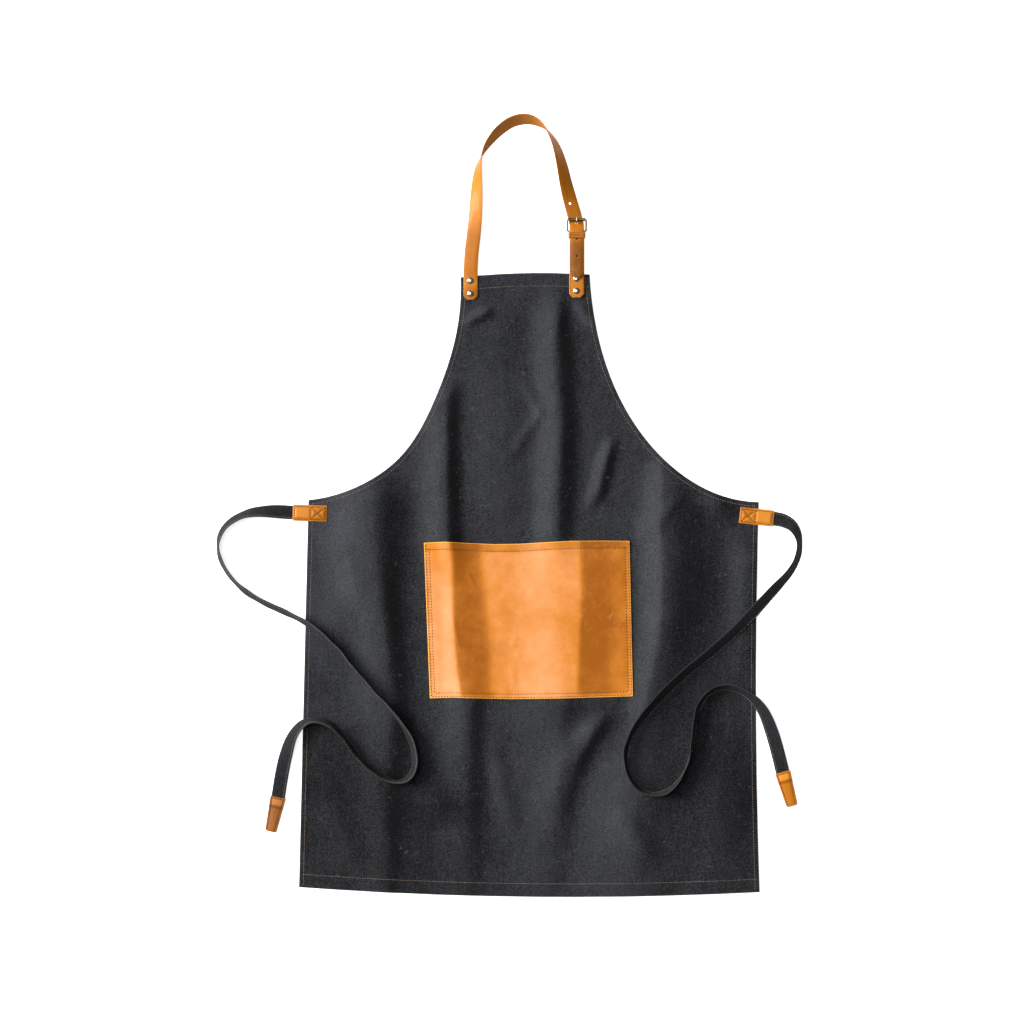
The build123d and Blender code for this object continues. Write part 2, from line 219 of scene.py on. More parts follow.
def thread_material(name, dark, light):
    """Twisted waxed thread."""
    s = Shader(name)
    twist = s.wave(0.0007, "DIAGONAL", 0.4)
    fibre = s.noise(1800, 2.0)
    tone = s.total((twist, 0.6), (fibre, 0.4))
    s.set(Base_Color=s.ramp(tone, (0.25, dark), (0.75, light)), Roughness=0.7, Sheen_Weight=0.1)
    s.bump((twist, 0.5, 0.00012))
    return s.material


def metal_material(name, dark, light, rough, wear_scale=160):
    """Plated brass with a tarnish that is darker in patches."""
    s = Shader(name)
    tarnish = s.noise(wear_scale, 4.0, 0.6)
    fine = s.noise(1400, 2.0)
    tone = s.total((tarnish, 0.75), (fine, 0.25))
    s.set(Base_Color=s.ramp(tone, (0.38, dark), (0.62, light)), Metallic=1.0)
    s.set(Roughness=s.spread(tarnish, 0.3, 0.7, rough + 0.12, rough))
    s.bump((fine, 0.15, 0.00008))
    return s.material


CANVAS = canvas_material("canvas_washed", (0.0032, 0.0034, 0.0041), (0.060, 0.062, 0.0705))
TAPE_CANVAS = canvas_material("canvas_tape", (0.0040, 0.0043, 0.0050), (0.034, 0.036, 0.041))
LEATHER = leather_material(
    "leather_face", (0.33, 0.092, 0.004), (0.58, 0.190, 0.016), (0.80, 0.33, 0.125),
    rough=0.36, coat=0.25,
)
STRAP_FACE = leather_material(
    "leather_strap", (0.19, 0.061, 0.004), (0.47, 0.148, 0.006), (0.68, 0.26, 0.034),
    rough=0.4, coat=0.12, mottled=0.16,
)
FLESH = leather_material(
    "leather_flesh", (0.27, 0.093, 0.017), (0.39, 0.146, 0.027), (0.48, 0.20, 0.045),
    rough=0.8, coat=0.0, grain=2.0,
)
EDGE = leather_material(
    "leather_edge", (0.70, 0.30, 0.030), (0.88, 0.44, 0.05), (0.95, 0.55, 0.12),
    rough=0.5, coat=0.1,
)
STRAP_EDGE = leather_material(
    "leather_edge_tan", (0.40, 0.15, 0.025), (0.54, 0.22, 0.04), (0.66, 0.30, 0.07),
    rough=0.5, coat=0.1,
)
STRAP_LEATHER = [STRAP_FACE, FLESH, STRAP_EDGE]
THREAD = thread_material("thread_brown", (0.115, 0.075, 0.045), (0.30, 0.20, 0.13))
DARK_THREAD = thread_material("thread_dark", (0.022, 0.008, 0.003), (0.09, 0.035, 0.012))
BRASS = metal_material("antique_brass", (0.11, 0.09, 0.055), (0.30, 0.25, 0.16), rough=0.3)
RIVET = metal_material(
    "rivet_brass", (0.44, 0.37, 0.23), (0.80, 0.73, 0.54), rough=0.16, wear_scale=300
)

# ---------------------------------------------------------------- mesh helpers


def new_mesh(name, vertices, faces, materials, indices=None, smooth=True):
    """A mesh object in the scene, from arrays of vertices and lists of faces."""
    mesh = bpy.data.meshes.new(name)
    mesh.from_pydata([tuple(v) for v in vertices], [], [tuple(map(int, f)) for f in faces])
    for material in materials:
        mesh.materials.append(material)
    if indices is not None:
        mesh.polygons.foreach_set("material_index", np.asarray(indices, dtype=np.int32))
    mesh.polygons.foreach_set("use_smooth", np.full(len(mesh.polygons), smooth))
    mesh.update()
    piece = bpy.data.objects.new(name, mesh)
    scene.collection.objects.link(piece)
    return piece


def settle(piece, node=None, body="apron"):
    """Hides the CAD node that a piece stands for, if one is given, and attaches the piece to its body.
    """
    if node:
        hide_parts(node)
    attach(piece, body)


def unit(vectors):
    """Each row at length 1."""
    return vectors / np.linalg.norm(vectors, axis=1)[:, None]


def distances(line):
    """How far along a line each of its points is."""
    return np.concatenate([[0], np.cumsum(np.linalg.norm(np.diff(line, axis=0), axis=1))])


def points_at(at, run, points):
    """The points of a line, or directions along it, at given distances."""
    return np.column_stack([np.interp(at, run, points[:, k]) for k in range(points.shape[1])])


def resampled(line, step, closed=False):
    """The line again with its points step apart, as near as its length allows."""
    line = np.asarray(line, dtype=float)
    if closed:
        line = np.vstack([line, line[:1]])
    run = distances(line)
    count = max(2, int(round(run[-1] / step)) + 1)
    out = points_at(np.linspace(0, run[-1], count), run, line)
    return out[:-1] if closed else out


def away_from(points, line, closed=False):
    """How far each 2-D point is from a 2-D line."""
    line = np.asarray(line)[:, :2]
    if closed:
        line = np.vstack([line, line[:1]])
    best = np.full(len(points), np.inf)
    for a, b in zip(line[:-1], line[1:]):
        d = b - a
        t = np.clip(((points - a) @ d) / max(d @ d, 1e-18), 0, 1)
        best = np.minimum(best, np.hypot(*(points - a - t[:, None] * d).T))
    return best


def is_inside(points, ring):
    """True for each 2-D point inside a closed ring."""
    inside = np.zeros(len(points), dtype=bool)
    x, y = points.T
    for (ax, ay), (bx, by) in zip(ring, np.roll(ring, -1, axis=0)):
        crosses = (ay > y) != (by > y)
        with np.errstate(divide="ignore", invalid="ignore"):
            at = (bx - ax) * (y - ay) / (by - ay) + ax
        inside ^= crosses & (x < at)
    return inside


def sideways(line, closed=False):
    """The unit normal to the left of a 2-D line at each of its points."""
    if closed:
        run = np.roll(line, -1, axis=0) - np.roll(line, 1, axis=0)
    else:
        run = np.gradient(line, axis=0)
    run = unit(run)
    return np.column_stack([-run[:, 1], run[:, 0]])


def split_at_corners(ring, sharp=math.radians(28)):
    """A closed ring's stretches between its sharp corners, each with both its end points."""
    before = ring - np.roll(ring, 1, axis=0)
    after = np.roll(ring, -1, axis=0) - ring
    turn = np.arctan2(
        before[:, 0] * after[:, 1] - before[:, 1] * after[:, 0], (before * after).sum(axis=1)
    )
    places = np.flatnonzero(np.abs(turn) > sharp)
    stretches = []
    for here, there in zip(places, np.roll(places, -1)):
        if there <= here:
            there += len(ring)
        stretches.append(ring[np.arange(here, there + 1) % len(ring)])
    return stretches


def top_outline(node, height):
    """The outer edge of a CAD node's flat top face, anticlockwise."""
    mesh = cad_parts[node].data
    tolerance = 1e-5
    edges = {}
    for face in mesh.polygons:
        if face.normal.z > 0.9 and abs(face.center.z - height) < tolerance:
            for a, b in zip(face.vertices, list(face.vertices[1:]) + [face.vertices[0]]):
                start, end = (tuple(round(v, 7) for v in mesh.vertices[i].co[:2]) for i in (a, b))
                edges[(start, end)] = True
    ahead = {a: b for a, b in edges if (b, a) not in edges}
    rings = []
    while ahead:
        start = next(iter(ahead))
        ring = [start]
        while ahead.get(ring[-1]) not in (None, start):
            ring.append(ahead.pop(ring[-1]))
        ahead.pop(ring[-1], None)
        rings.append(np.array(ring))
    ring = max(rings, key=lambda r: np.ptp(r[:, 0]) * np.ptp(r[:, 1]))
    keep = np.linalg.norm(ring - np.roll(ring, 1, axis=0), axis=1) > 1e-6
    return ring[keep]


RIM_SHARES = (0.35, 1.0, 2.2)  # where the rings of points inside a sheet's outline lie


def slab(name, ring, step, top, bottom, materials, edge, rim=0.0):
    """A closed sheet on a closed outline, its faces given by top(points) and bottom(points).

    The third material is on its edge and on a rim of the top face."""
    inward = sideways(ring, closed=True)
    rims = np.vstack([ring + inward * edge * share for share in RIM_SHARES])
    low, high = ring.min(axis=0), ring.max(axis=0)
    rows = np.arange(low[1], high[1] + step, step * math.sqrt(3) / 2)
    grid = []
    for index, y in enumerate(rows):
        xs = np.arange(low[0] - (index % 2) * step / 2, high[0] + step, step)
        grid.append(np.column_stack([xs, np.full(len(xs), y)]))
    grid = np.vstack(grid)
    grid = grid[is_inside(grid, ring)]
    grid = grid[away_from(grid, ring, closed=True) > RIM_SHARES[-1] * edge + 0.4 * step]
    rims = rims[is_inside(rims, ring)]
    points = np.vstack([ring, rims, grid])
    loop = [(i, (i + 1) % len(ring)) for i in range(len(ring))]
    flat, _, triangles, *_ = delaunay_2d_cdt([Vector(p) for p in points], loop, [], 1, 1e-7)
    flat = np.array([tuple(p) for p in flat])
    n = len(flat)
    upper = np.column_stack([flat, top(flat)])
    lower = np.column_stack([flat, bottom(flat)])
    triangles = [tuple(t) for t in triangles]
    directed = {(a, b) for t in triangles for a, b in zip(t, t[1:] + t[:1])}
    border = [(a, b) for a, b in directed if (b, a) not in directed]
    faces = list(triangles)
    faces += [tuple(i + n for i in reversed(t)) for t in triangles]
    faces += [(a, a + n, b + n, b) for a, b in sorted(border)]
    last = len(materials) - 1
    middles = flat[np.array(triangles)].mean(axis=1)
    on_rim = away_from(middles, ring, closed=True) < rim
    indices = [min(2, last) if bare else 0 for bare in on_rim]
    indices += [min(1, last)] * len(triangles) + [min(2, last)] * len(border)
    return new_mesh(name, np.vstack([upper, lower]), faces, materials, indices)


def paint(piece, values):
    """Paints each vertex of a piece lighter or darker."""
    layer = piece.data.attributes.new(SHADE, "FLOAT", "POINT")
    layer.data.foreach_set("value", np.asarray(values, dtype=np.float32))


def eased(points, outline, radius):
    """How far a sheet's face drops near its outline, for an edge of that radius."""
    distance = away_from(points, outline, closed=True)
    near = np.clip((radius - distance) / radius, 0, 1)
    return radius * (1 - np.sqrt(1 - near**2))


def pressed(points, lines, width, depth):
    """The dip that rows of stitches pull into a soft face."""
    away = np.full(len(points), np.inf)
    for line in lines:
        away = np.minimum(away, away_from(points, line))
    return depth * np.exp(-((away / width) ** 2))


# A stitch: corners round it, then its sections' places, widths and heights above the surface
RING = 6
STITCH_SHARES = np.array([0.0, 0.22, 0.5, 0.78, 1.0])
STITCH_WIDTHS = np.array([0.45, 0.9, 1.0, 0.9, 0.45])
STITCH_LIFTS = np.array([-0.55, 0.35, 0.6, 0.35, -0.55])


def stitches(name, rows, material, pitch, gap=0.9 * MM, width=0.8 * MM, body="apron"):
    """Rows of separate stitches. Each row is (points on the surface, unit normals there)."""
    vertices, faces = [], []
    for points, ups in rows:
        points, ups = np.asarray(points), np.asarray(ups)
        run = distances(points)
        count = max(1, int(run[-1] / pitch))
        pace = run[-1] / count
        for index in range(count):
            at = index * pace + gap / 2 + STITCH_SHARES * (pace - gap)
            middle = points_at(at, run, points)
            up = unit(points_at(at, run, ups))
            ahead = middle[-1] - middle[0]
            ahead /= max(np.linalg.norm(ahead), 1e-12)
            side = np.cross(up, ahead)
            first = len(vertices)
            for place, u, s, wide, lift in zip(middle, up, side, STITCH_WIDTHS, STITCH_LIFTS):
                centre = place + u * lift * width / 2
                for k in range(RING):
                    angle = 2 * math.pi * k / RING
                    out = s * math.cos(angle) + u * math.sin(angle) * 0.75
                    vertices.append(centre + out * wide * width / 2)
            for ring in range(len(at) - 1):
                for k in range(RING):
                    a = first + ring * RING + k
                    b = first + ring * RING + (k + 1) % RING
                    faces.append((a, b, b + RING, a + RING))
            faces.append([first + k for k in reversed(range(RING))])
            faces.append([first + (len(at) - 1) * RING + k for k in range(RING)])
    sewn = new_mesh(name, vertices, faces, [material])
    settle(sewn, body=body)
    return sewn


def smooth_step(value):
    """From 0 to 1 with no corner at either end."""
    value = np.clip(value, 0, 1)
    return value * value * (3 - 2 * value)


def on_surface(line, surface, lift=0.0):
    """A 2-D line laid on a height function, with the surface's normals."""
    small = 0.0005
    z = surface(line)
    slope_x = (surface(line + [small, 0]) - surface(line - [small, 0])) / (2 * small)
    slope_y = (surface(line + [0, small]) - surface(line - [0, small])) / (2 * small)
    normals = unit(np.column_stack([-slope_x, -slope_y, np.ones(len(line))]))
    return np.column_stack([line, z + lift]), normals


# Places across a strap's face, as shares of its half width
SECTION = np.array([-1, -0.985, -0.93, -0.86, -0.79, -0.4, 0, 0.4, 0.79, 0.86, 0.93, 0.985, 1])
AROUND = np.concatenate([SECTION, SECTION[::-1]])  # the same round both faces
GROOVE_AT = 0.86


def ribbon(name, middle, across, up, half_width, thickness, materials, closed=False, crown=0.0,
           groove=0.0):
    """A strap: a thin section with eased edges carried along a line, with closed ends."""
    half_width = np.broadcast_to(np.asarray(half_width, dtype=float), (len(middle),))
    height = 0.5 * thickness * (1 - 0.55 * np.abs(SECTION) ** 16 - 0.1 * np.abs(SECTION) ** 6)
    domed = crown * (1 - SECTION**2) - groove * (np.abs(np.abs(SECTION) - GROOVE_AT) < 0.01)
    ring = len(SECTION) * 2
    vertices = []
    for m, a, u, w in zip(middle, across, up, half_width):
        vertices += [m + a * w * s + u * (h + d) for s, h, d in zip(SECTION, height, domed)]
        backs = list(zip(SECTION, height, domed))[::-1]
        vertices += [m + a * w * s - u * (h - d * 0.5) for s, h, d in backs]
    faces, indices = [], []
    count = len(middle)
    half_ring = len(SECTION)
    sides = (0, half_ring - 2, half_ring - 1, half_ring, ring - 2, ring - 1)
    for i in range(count if closed else count - 1):
        j = (i + 1) % count
        for k in range(ring):
            l = (k + 1) % ring
            faces.append((i * ring + k, i * ring + l, j * ring + l, j * ring + k))
            indices.append(2 if k in sides else (0 if k < half_ring - 1 else 1))
    if not closed:
        for i, flip in ((0, True), (count - 1, False)):
            for k in range(len(SECTION) - 1):
                a, b = i * ring + k, i * ring + k + 1
                c, d = i * ring + ring - 2 - k, i * ring + ring - 1 - k
                faces.append((a, d, c, b) if not flip else (a, b, c, d))
                indices.append(2)
    return new_mesh(name, vertices, faces, materials, indices)


def cut(piece, *tools):
    """Takes the tools' shapes out of a piece and removes the tools."""
    for tool in tools:
        modifier = piece.modifiers.new("cut", "BOOLEAN")
        modifier.operation = "DIFFERENCE"
        modifier.solver = "EXACT"
        modifier.object = tool
    graph = bpy.context.evaluated_depsgraph_get()
    mesh = bpy.data.meshes.new_from_object(piece.evaluated_get(graph))
    piece.modifiers.clear()
    piece.data = mesh
    for tool in tools:
        bpy.data.objects.remove(tool)


def rounded_rectangle(half_x, half_y, corner, step, per_corner):
    """A closed rounded rectangle about the origin, anticlockwise."""
    line = []
    for sign_x, sign_y, start in ((1, 1, 0), (-1, 1, 90), (-1, -1, 180), (1, -1, 270)):
        for angle in np.radians(np.linspace(start, start + 90, per_corner)):
            x = sign_x * (half_x - corner) + corner * math.cos(angle)
            y = sign_y * (half_y - corner) + corner * math.sin(angle)
            line.append((x, y))
    return resampled(line, step, closed=True)


def round_tool(place, axis, radius, length, sides=28):
    """A plain cylinder to cut a hole with."""
    axis = Vector(axis).normalized()
    side = axis.orthogonal().normalized()
    other = axis.cross(side)
    vertices = []
    for end in (-0.5, 0.5):
        for k in range(sides):
            angle = 2 * math.pi * k / sides
            rim = side * math.cos(angle) * radius + other * math.sin(angle) * radius
            vertices.append(Vector(place) + rim + axis * end * length)
    faces = [(k, (k + 1) % sides, (k + 1) % sides + sides, k + sides) for k in range(sides)]
    faces += [list(range(sides))[::-1], list(range(sides, 2 * sides))]
    return new_mesh("tool", vertices, faces, [EDGE])


def box_tool(low, high):
    """A plain box to cut a slot with."""
    (ax, ay, az), (bx, by, bz) = low, high
    vertices = [(x, y, z) for z in (az, bz) for y in (ay, by) for x in (ax, bx)]
    faces = [(0, 2, 3, 1), (4, 5, 7, 6), (0, 1, 5, 4), (2, 6, 7, 3), (0, 4, 6, 2), (1, 3, 7, 5)]
    return new_mesh("tool", vertices, faces, [EDGE])


# ---------------------------------------------------------------- the lie of the cloth

FACE = corners_of("apron_cloth")[1][2]  # height of the flat cloth's face
CLOTH = FACE / 3  # one layer of canvas, because a hem is three
SIDE_HEM = 8 * MM
END_HEM = 20 * MM
SIDE_SEAM = 6.4 * MM
END_SEAM = 19 * MM

# Soft ripples: places along the crest, each (x, y, height, width to the left, width to the
# right), all in millimetres, from the neck down.
RIPPLES = [
    [(-118, 190, 0, 20, 14), (-128, 150, 4.5, 28, 16), (-127, 60, 6, 30, 15),
     (-126, -50, 6, 30, 17), (-112, -120, 0.8, 26, 20), (-100, -250, 0.8, 26, 20),
     (-95, -290, 4, 30, 18),
     (-97, -420, 3.4, 34, 20), (-98, -570, 1, 34, 20)],
    [(36, 300, 2, 22, 14), (33, 262, 5.6, 24, 15), (33, 190, 6, 26, 22), (39, 131, 6, 26, 18),
     (35, 36, 6.4, 26, 20), (32, -36, 5.5, 26, 20), (36, -100, 0.4, 26, 20),
     (38, -250, 0.4, 26, 20), (38, -290, 3.2, 50, 22), (28, -420, 3, 50, 24),
     (22, -570, 1, 40, 24)],
    [(-238, 62, 0, 40, 30), (-232, 10, 9, 60, 36), (-234, -40, 10, 60, 38),
     (-224, -134, 9, 55, 27), (-212, -231, 7, 45, 24), (-206, -304, 4.5, 40, 24),
     (-214, -400, 3, 34, 18), (-214, -560, 2, 30, 16)],
    [(186, 70, 1, 16, 20), (189, 30, 6.5, 20, 46), (186, -28, 9, 22, 52), (189, -90, 10, 22, 54),
     (188, -150, 9.5, 21, 50), (180, -215, 7, 20, 44), (168, -275, 4, 20, 40),
     (155, -350, 3.4, 26, 46), (148, -450, 4.4, 60, 44), (142, -570, 1.5, 60, 44)],
    [(116, 104, 0, 10, 9), (106, 70, 3.4, 11, 10), (95, 24, 3, 12, 11), (80, -10, 0, 12, 12)],
    [(104, -298, 0, 20, 13), (84, -330, 4.2, 26, 15), (60, -372, 4.4, 28, 17),
     (42, -430, 2.4, 30, 20), (32, -500, 0, 30, 20)],
    [(300, -20, 0, 24, 24), (312, -80, 4, 26, 26), (306, -200, 3, 26, 26), (300, -260, 0, 26, 26)],
    [(-290, -100, 0, 40, 30), (-292, -180, 2.4, 40, 30), (-300, -260, 0, 40, 30)],
    [(-160, -390, 0, 26, 26), (-140, -430, 4, 30, 24), (-128, -470, 0, 30, 26)],
    [(276, -330, 0, 36, 36), (282, -430, 2.2, 40, 40), (278, -560, 0.6, 40, 40)],
    [(-40, 300, 0, 40, 30), (-50, 240, 1.6, 44, 34), (-44, 120, 1.8, 44, 40),
     (-42, 0, 1.8, 44, 40), (-40, -40, 1.0, 40, 40)],
    [(236, 38, 0, 18, 22), (268, 2, 3.4, 24, 20), (290, -30, 0, 24, 20)],
]

# Short slanting wrinkles: each (start, end, height, width) in millimetres
WRINKLES = [
    ((-104, 262), (-58, 284), 2.4, 8),
    ((98, 250), (60, 300), 2.2, 9),
    ((-40, 60), (20, 150), 0.9, 9),
    ((-20, 190), (16, 120), 0.8, 8),
    ((-85, 110), (-30, 70), 0.7, 9),
    ((150, -60), (215, 20), 1.0, 12),
    ((-280, -40), (-250, -150), 1.0, 14),
    ((120, -440), (175, -520), 1.4, 16),
    ((-60, -330), (-30, -480), 1.2, 15),
    ((-300, -430), (-250, -520), 1.2, 18),
]


def wrinkled(points, wrinkles):
    """Height in millimetres of short straight wrinkles that fade at both ends."""
    places = points / MM
    total = np.zeros(len(points))
    for start, end, height, width in wrinkles:
        a, b = np.array(start, dtype=float), np.array(end, dtype=float)
        along = ((places - a) @ (b - a)) / ((b - a) @ (b - a))
        off = away_from(places, [a, b])
        fade = np.exp(-(((along - 0.5) / 0.42) ** 4))
        total += height * fade * np.exp(-((off / width) ** 2))
    return total


RIPPLE_END = 30  # millimetres past its last place in which a ripple dies out


def ripple(points):
    """Height in metres of one soft fold after another, at 2-D points."""
    x, y = points.T / MM
    total = np.zeros(len(points))
    for crest in RIPPLES:
        table = np.array(crest, dtype=float)[::-1]
        cx, height, left, right = (np.interp(y, table[:, 1], table[:, k]) for k in (0, 2, 3, 4))
        beyond = np.clip((y - table[-1, 1]) / RIPPLE_END, 0, 1)
        beyond = beyond + np.clip((table[0, 1] - y) / RIPPLE_END, 0, 1)
        width = np.where(x < cx, left, right)
        total += height * np.clip(1 - beyond, 0, 1) * np.exp(-(((x - cx) / width) ** 2))
    return (total + wrinkled(points, WRINKLES)) * MM


# Small uneven waves that keep the cloth from looking machined: (length, direction, height)
SMALL_WAVES = [(61, 12, 0.16), (43, 75, 0.13), (31, -35, 0.10), (23, 50, 0.07), (17, -70, 0.05)]


def small_waves(points):
    """Height in metres of the small waves."""
    x, y = points.T / MM
    total = np.zeros(len(points))
    for length, direction, height in SMALL_WAVES:
        angle = math.radians(direction)
        along = x * math.cos(angle) + y * math.sin(angle)
        across = -x * math.sin(angle) + y * math.cos(angle)
        bend = 0.35 * length * np.sin(2 * math.pi * across / (2.7 * length) + direction)
        total += height * np.sin(2 * math.pi * (along + bend) / length)
    return total * MM


# Painted shade and light on the cloth, standing in for folds that the ripples leave out: (x, y, width,
# height, amount)
FOLD_SHADE_PATCHES = [
    (-240, -470, 140, 150, -0.15),
    (-100, -500, 120, 120, -0.06),
    (-290, -80, 60, 120, 0.04),
    (95, -450, 60, 130, 0.08),
    (290, -480, 110, 170, -0.12),
    (262, -130, 56, 170, -0.12),
    (-158, -430, 44, 32, -0.22),
    (-150, 10, 70, 60, -0.04),
    (-285, -385, 60, 50, -0.11),
    (285, -395, 60, 90, -0.12),
    (115, -312, 26, 30, -0.16),
    (0, 250, 120, 60, -0.05),
]

HOLD_DOWN = []  # middle and reach of what keeps the cloth flat
for held_node, held_reach in (
    ("neck_strap_rivet_caps", 30 * MM),
    ("buckle_strap_rivet_caps", 30 * MM),
    ("left_tab_front", 42 * MM),
    ("right_tab_front", 42 * MM),
):
    low_corner, high_corner = corners_of(held_node)
    HOLD_DOWN.append((((low_corner + high_corner) / 2)[:2], held_reach))


def calm(points):
    """From 0 where the cloth is held flat to 1 where it is free to ripple."""
    free = np.ones(len(points))
    for place, reach in HOLD_DOWN:
        far = np.linalg.norm(points - place, axis=1)
        free *= 1 - np.exp(-((far / reach) ** 4))
    return free


POCKET_CORNERS = [(-150.1, -277.7), (144.3, -277.7), (139.2, -53.0), (-158.8, -53.0)]
# Knees of the pocket's profile, left to right: (x at the mouth, x at the bottom, change of slope,
# millimetres that the knee is spread over)
POCKET_KNEES = [(-160, -152, 0.03, 2), (-141, -126, 0.09, 2.5), (-123, -107, -0.195, 1.5),
                (-76, -60, 0.105, 3.6), (-30, -24, 0.022, 6), (18, 22, -0.018, 5), (67, 66, -0.119, 2.0),
                (112, 110, 0.050, 5.0), (139, 144, 0.015, 2), (163, 161, 0.02, 2)]
POCKET_FADE = 42  # millimetres past the pocket in which the cloth goes flat again
# Fine wrinkles in the leather: (start, end, height, width) in millimetres
POCKET_WRINKLES = [
    ((-31, -228), (-27, -272), 0.16, 4.5),
    ((-22, -183), (-34, -210), 0.09, 3.5),
    ((-14, -212), (-30, -224), 0.05, 3.0),
    ((22, -196), (31, -212), 0.06, 3.0),
    ((50, -165), (58, -190), 0.07, 4.0),
    ((-120, -150), (-108, -205), 0.18, 4.0),
    ((-96, -96), (-84, -120), 0.16, 3.0),
    ((80, -120), (96, -150), 0.16, 3.0),
]


def pocket_profile(points):
    """Height of the soft ridges that the pocket and the cloth under it share."""
    x, y = points.T / MM
    bottom, mouth = POCKET_CORNERS[0][1], POCKET_CORNERS[2][1]
    share = np.clip((y - bottom) / (mouth - bottom), 0, 1)
    total = np.zeros(len(points))
    for at_mouth, at_bottom, bend, soft in POCKET_KNEES:
        wander = 2.4 * np.sin(5.5 * share + at_mouth)
        past = (x - wander - at_bottom - (at_mouth - at_bottom) * share) / soft
        total += bend * soft * np.logaddexp(0, past)
    beyond = np.maximum(np.maximum(bottom - y, y - mouth), 0)
    return total * (1 - smooth_step(beyond / POCKET_FADE)) * MM


FREE_RISE = 0.45 * MM  # how much higher the cloth lies where nothing holds it flat


def cloth_top(points):
    """Height of the canvas's face."""
    own = ripple(points) + small_waves(points) + pocket_profile(points) + FREE_RISE
    return FACE + own * calm(points)


outline = top_outline("apron_cloth", FACE)
stretches = split_at_corners(outline)
stretches = [resampled(s, 3.5 * MM) for s in stretches]
ring = np.vstack([s[:-1] for s in stretches])
top_edge = max(stretches, key=lambda s: s[:, 1].min())
bottom_edge = min(stretches, key=lambda s: s[:, 1].max())
side_edges = [s for s in stretches if s is not top_edge and s is not bottom_edge]


def hem_share(points):
    """1 inside a turned hem and 0 beyond it, with a short slope between."""
    away_side = np.full(len(points), np.inf)
    for edge in side_edges:
        away_side = np.minimum(away_side, away_from(points, edge))
    away_end = np.minimum(away_from(points, top_edge), away_from(points, bottom_edge))
    slope = 2.5 * MM
    side = np.clip((SIDE_HEM + slope - away_side) / slope, 0, 1)
    end = np.clip((END_HEM + slope - away_end) / slope, 0, 1)
    return np.maximum(side, end) ** 2 * (3 - 2 * np.maximum(side, end))


SEAM_CLEAR = 1.5 * MM  # how near a row of stitches comes to another edge


def seam(edge, distance):
    """A line inside one edge, cut off where it would come too near another edge."""
    line = edge + sideways(edge) * distance
    others = [other for other in stretches if other is not edge]
    away = np.min([away_from(line, other) for other in others], axis=0)
    return line[is_inside(line, ring) & (away > SEAM_CLEAR)]


hem_lines = [seam(edge, SIDE_SEAM) for edge in side_edges]
hem_lines += [seam(top_edge, END_SEAM), seam(bottom_edge, END_SEAM)]
EDGE_SEAM_LINES = [resampled(line, 6 * MM) for line in hem_lines if len(line) > 3]
HEM_RAISE = 0.55 * MM
HEM_DIP_WIDTH, HEM_DIP = 1.3 * MM, 0.35 * MM  # what the stitches pull in
CLOTH_EDGE_RADIUS = 1.2 * MM
HEM_LAYERS = 2 * CLOTH * 0.85  # the layers turned under, pressed a little thinner
TABLE_GAP = 0.05 * MM


def cloth_face(points):
    """The canvas's face with its hems raised a little and pulled in by their stitches."""
    hem = hem_share(points)
    dip = pressed(points, EDGE_SEAM_LINES, HEM_DIP_WIDTH, HEM_DIP)
    drop = eased(points, ring, CLOTH_EDGE_RADIUS)
    return cloth_top(points) + HEM_RAISE * (hem - 0.4) - dip - drop


def cloth_back(points):
    """The canvas's back, lower at the hems and never below the table."""
    hem = hem_share(points)
    return np.maximum(cloth_face(points) - CLOTH - HEM_LAYERS * hem, TABLE_GAP)


cloth = slab("cloth_panel", ring, 4.2 * MM, cloth_face, cloth_back, [CANVAS], edge=1.0 * MM)
cloth_points = np.array([v.co[:2] for v in cloth.data.vertices])
heights = ripple(cloth_points) / MM
# The key light's side, seen from above: slopes facing it get a painted highlight and slopes facing away
# a painted shade
KEY_LIGHT_SIDE = np.array([-0.956, 0.292])  # slopes that face this way are painted lighter


def leaning(surface, points):
    """How steeply a surface faces the key light's side, for painted light and shade."""
    here, there = points + KEY_LIGHT_SIDE * MM, points - KEY_LIGHT_SIDE * MM
    return (surface(there) - surface(here)) / (2 * MM)


# How light and shade are painted on the cloth: lighter on its crests, lighter on slopes facing the key
# light and darker on slopes facing away, and lighter along its outer edge
CREST, CREST_SHADE = 8, 0.06  # millimetres, shade
SLOPE_SHADE = 1.5
STEEPEST_AWAY, STEEPEST_TOWARD = -0.28, 0.14
EDGE_BAND_WIDTH, EDGE_SHADE = 1.6 * MM, 0.16

lean = leaning(ripple, cloth_points)
# The cloth is painted lighter along its outer edge
outer_edge_band = np.exp(-((away_from(cloth_points, ring, closed=True) / EDGE_BAND_WIDTH) ** 2))
crests = np.clip(heights / CREST, 0, 1)
slopes = np.clip(lean, STEEPEST_AWAY, STEEPEST_TOWARD)
cloth_shade = CREST_SHADE * crests + SLOPE_SHADE * slopes + EDGE_SHADE * outer_edge_band
for x, y, wide, tall, amount in FOLD_SHADE_PATCHES:
    dx, dy = (cloth_points[:, 0] / MM - x) / wide, (cloth_points[:, 1] / MM - y) / tall
    cloth_shade += amount * np.exp(-(dx**2) - dy**2)
paint(cloth, cloth_shade)
settle(cloth, "apron_cloth")

stitches(
    "hem_stitching",
    [on_surface(resampled(line, 2 * MM), cloth_face) for line in EDGE_SEAM_LINES],
    THREAD, pitch=3.6 * MM,
)

# ---------------------------------------------------------------- pocket

POCKET_LEATHER = 1.6 * MM
# Rows of stitches, from the panel's edge
POCKET_SEAM = 2.3 * MM
POCKET_INNER_SEAM = 7.2 * MM
MOUTH_SEAM = 10.5 * MM
# How far the panel's mouth and bottom edge wander, as (share of the width, millimetres)
MOUTH_WAVE = [(0, -1.0), (0.1, 0.6), (0.2, -1.2), (0.34, -3.0), (0.46, -2.4), (0.58, -0.2),
              (0.7, 1.8), (0.86, 2.2), (1, 1.6)]
BOTTOM_WAVE = [(0, -2.2), (0.14, -0.6), (0.28, -2.0), (0.42, -2.9), (0.62, -2.0), (0.82, -0.4),
               (1, 1.2)]
pocket_ring = np.array(POCKET_CORNERS) * MM


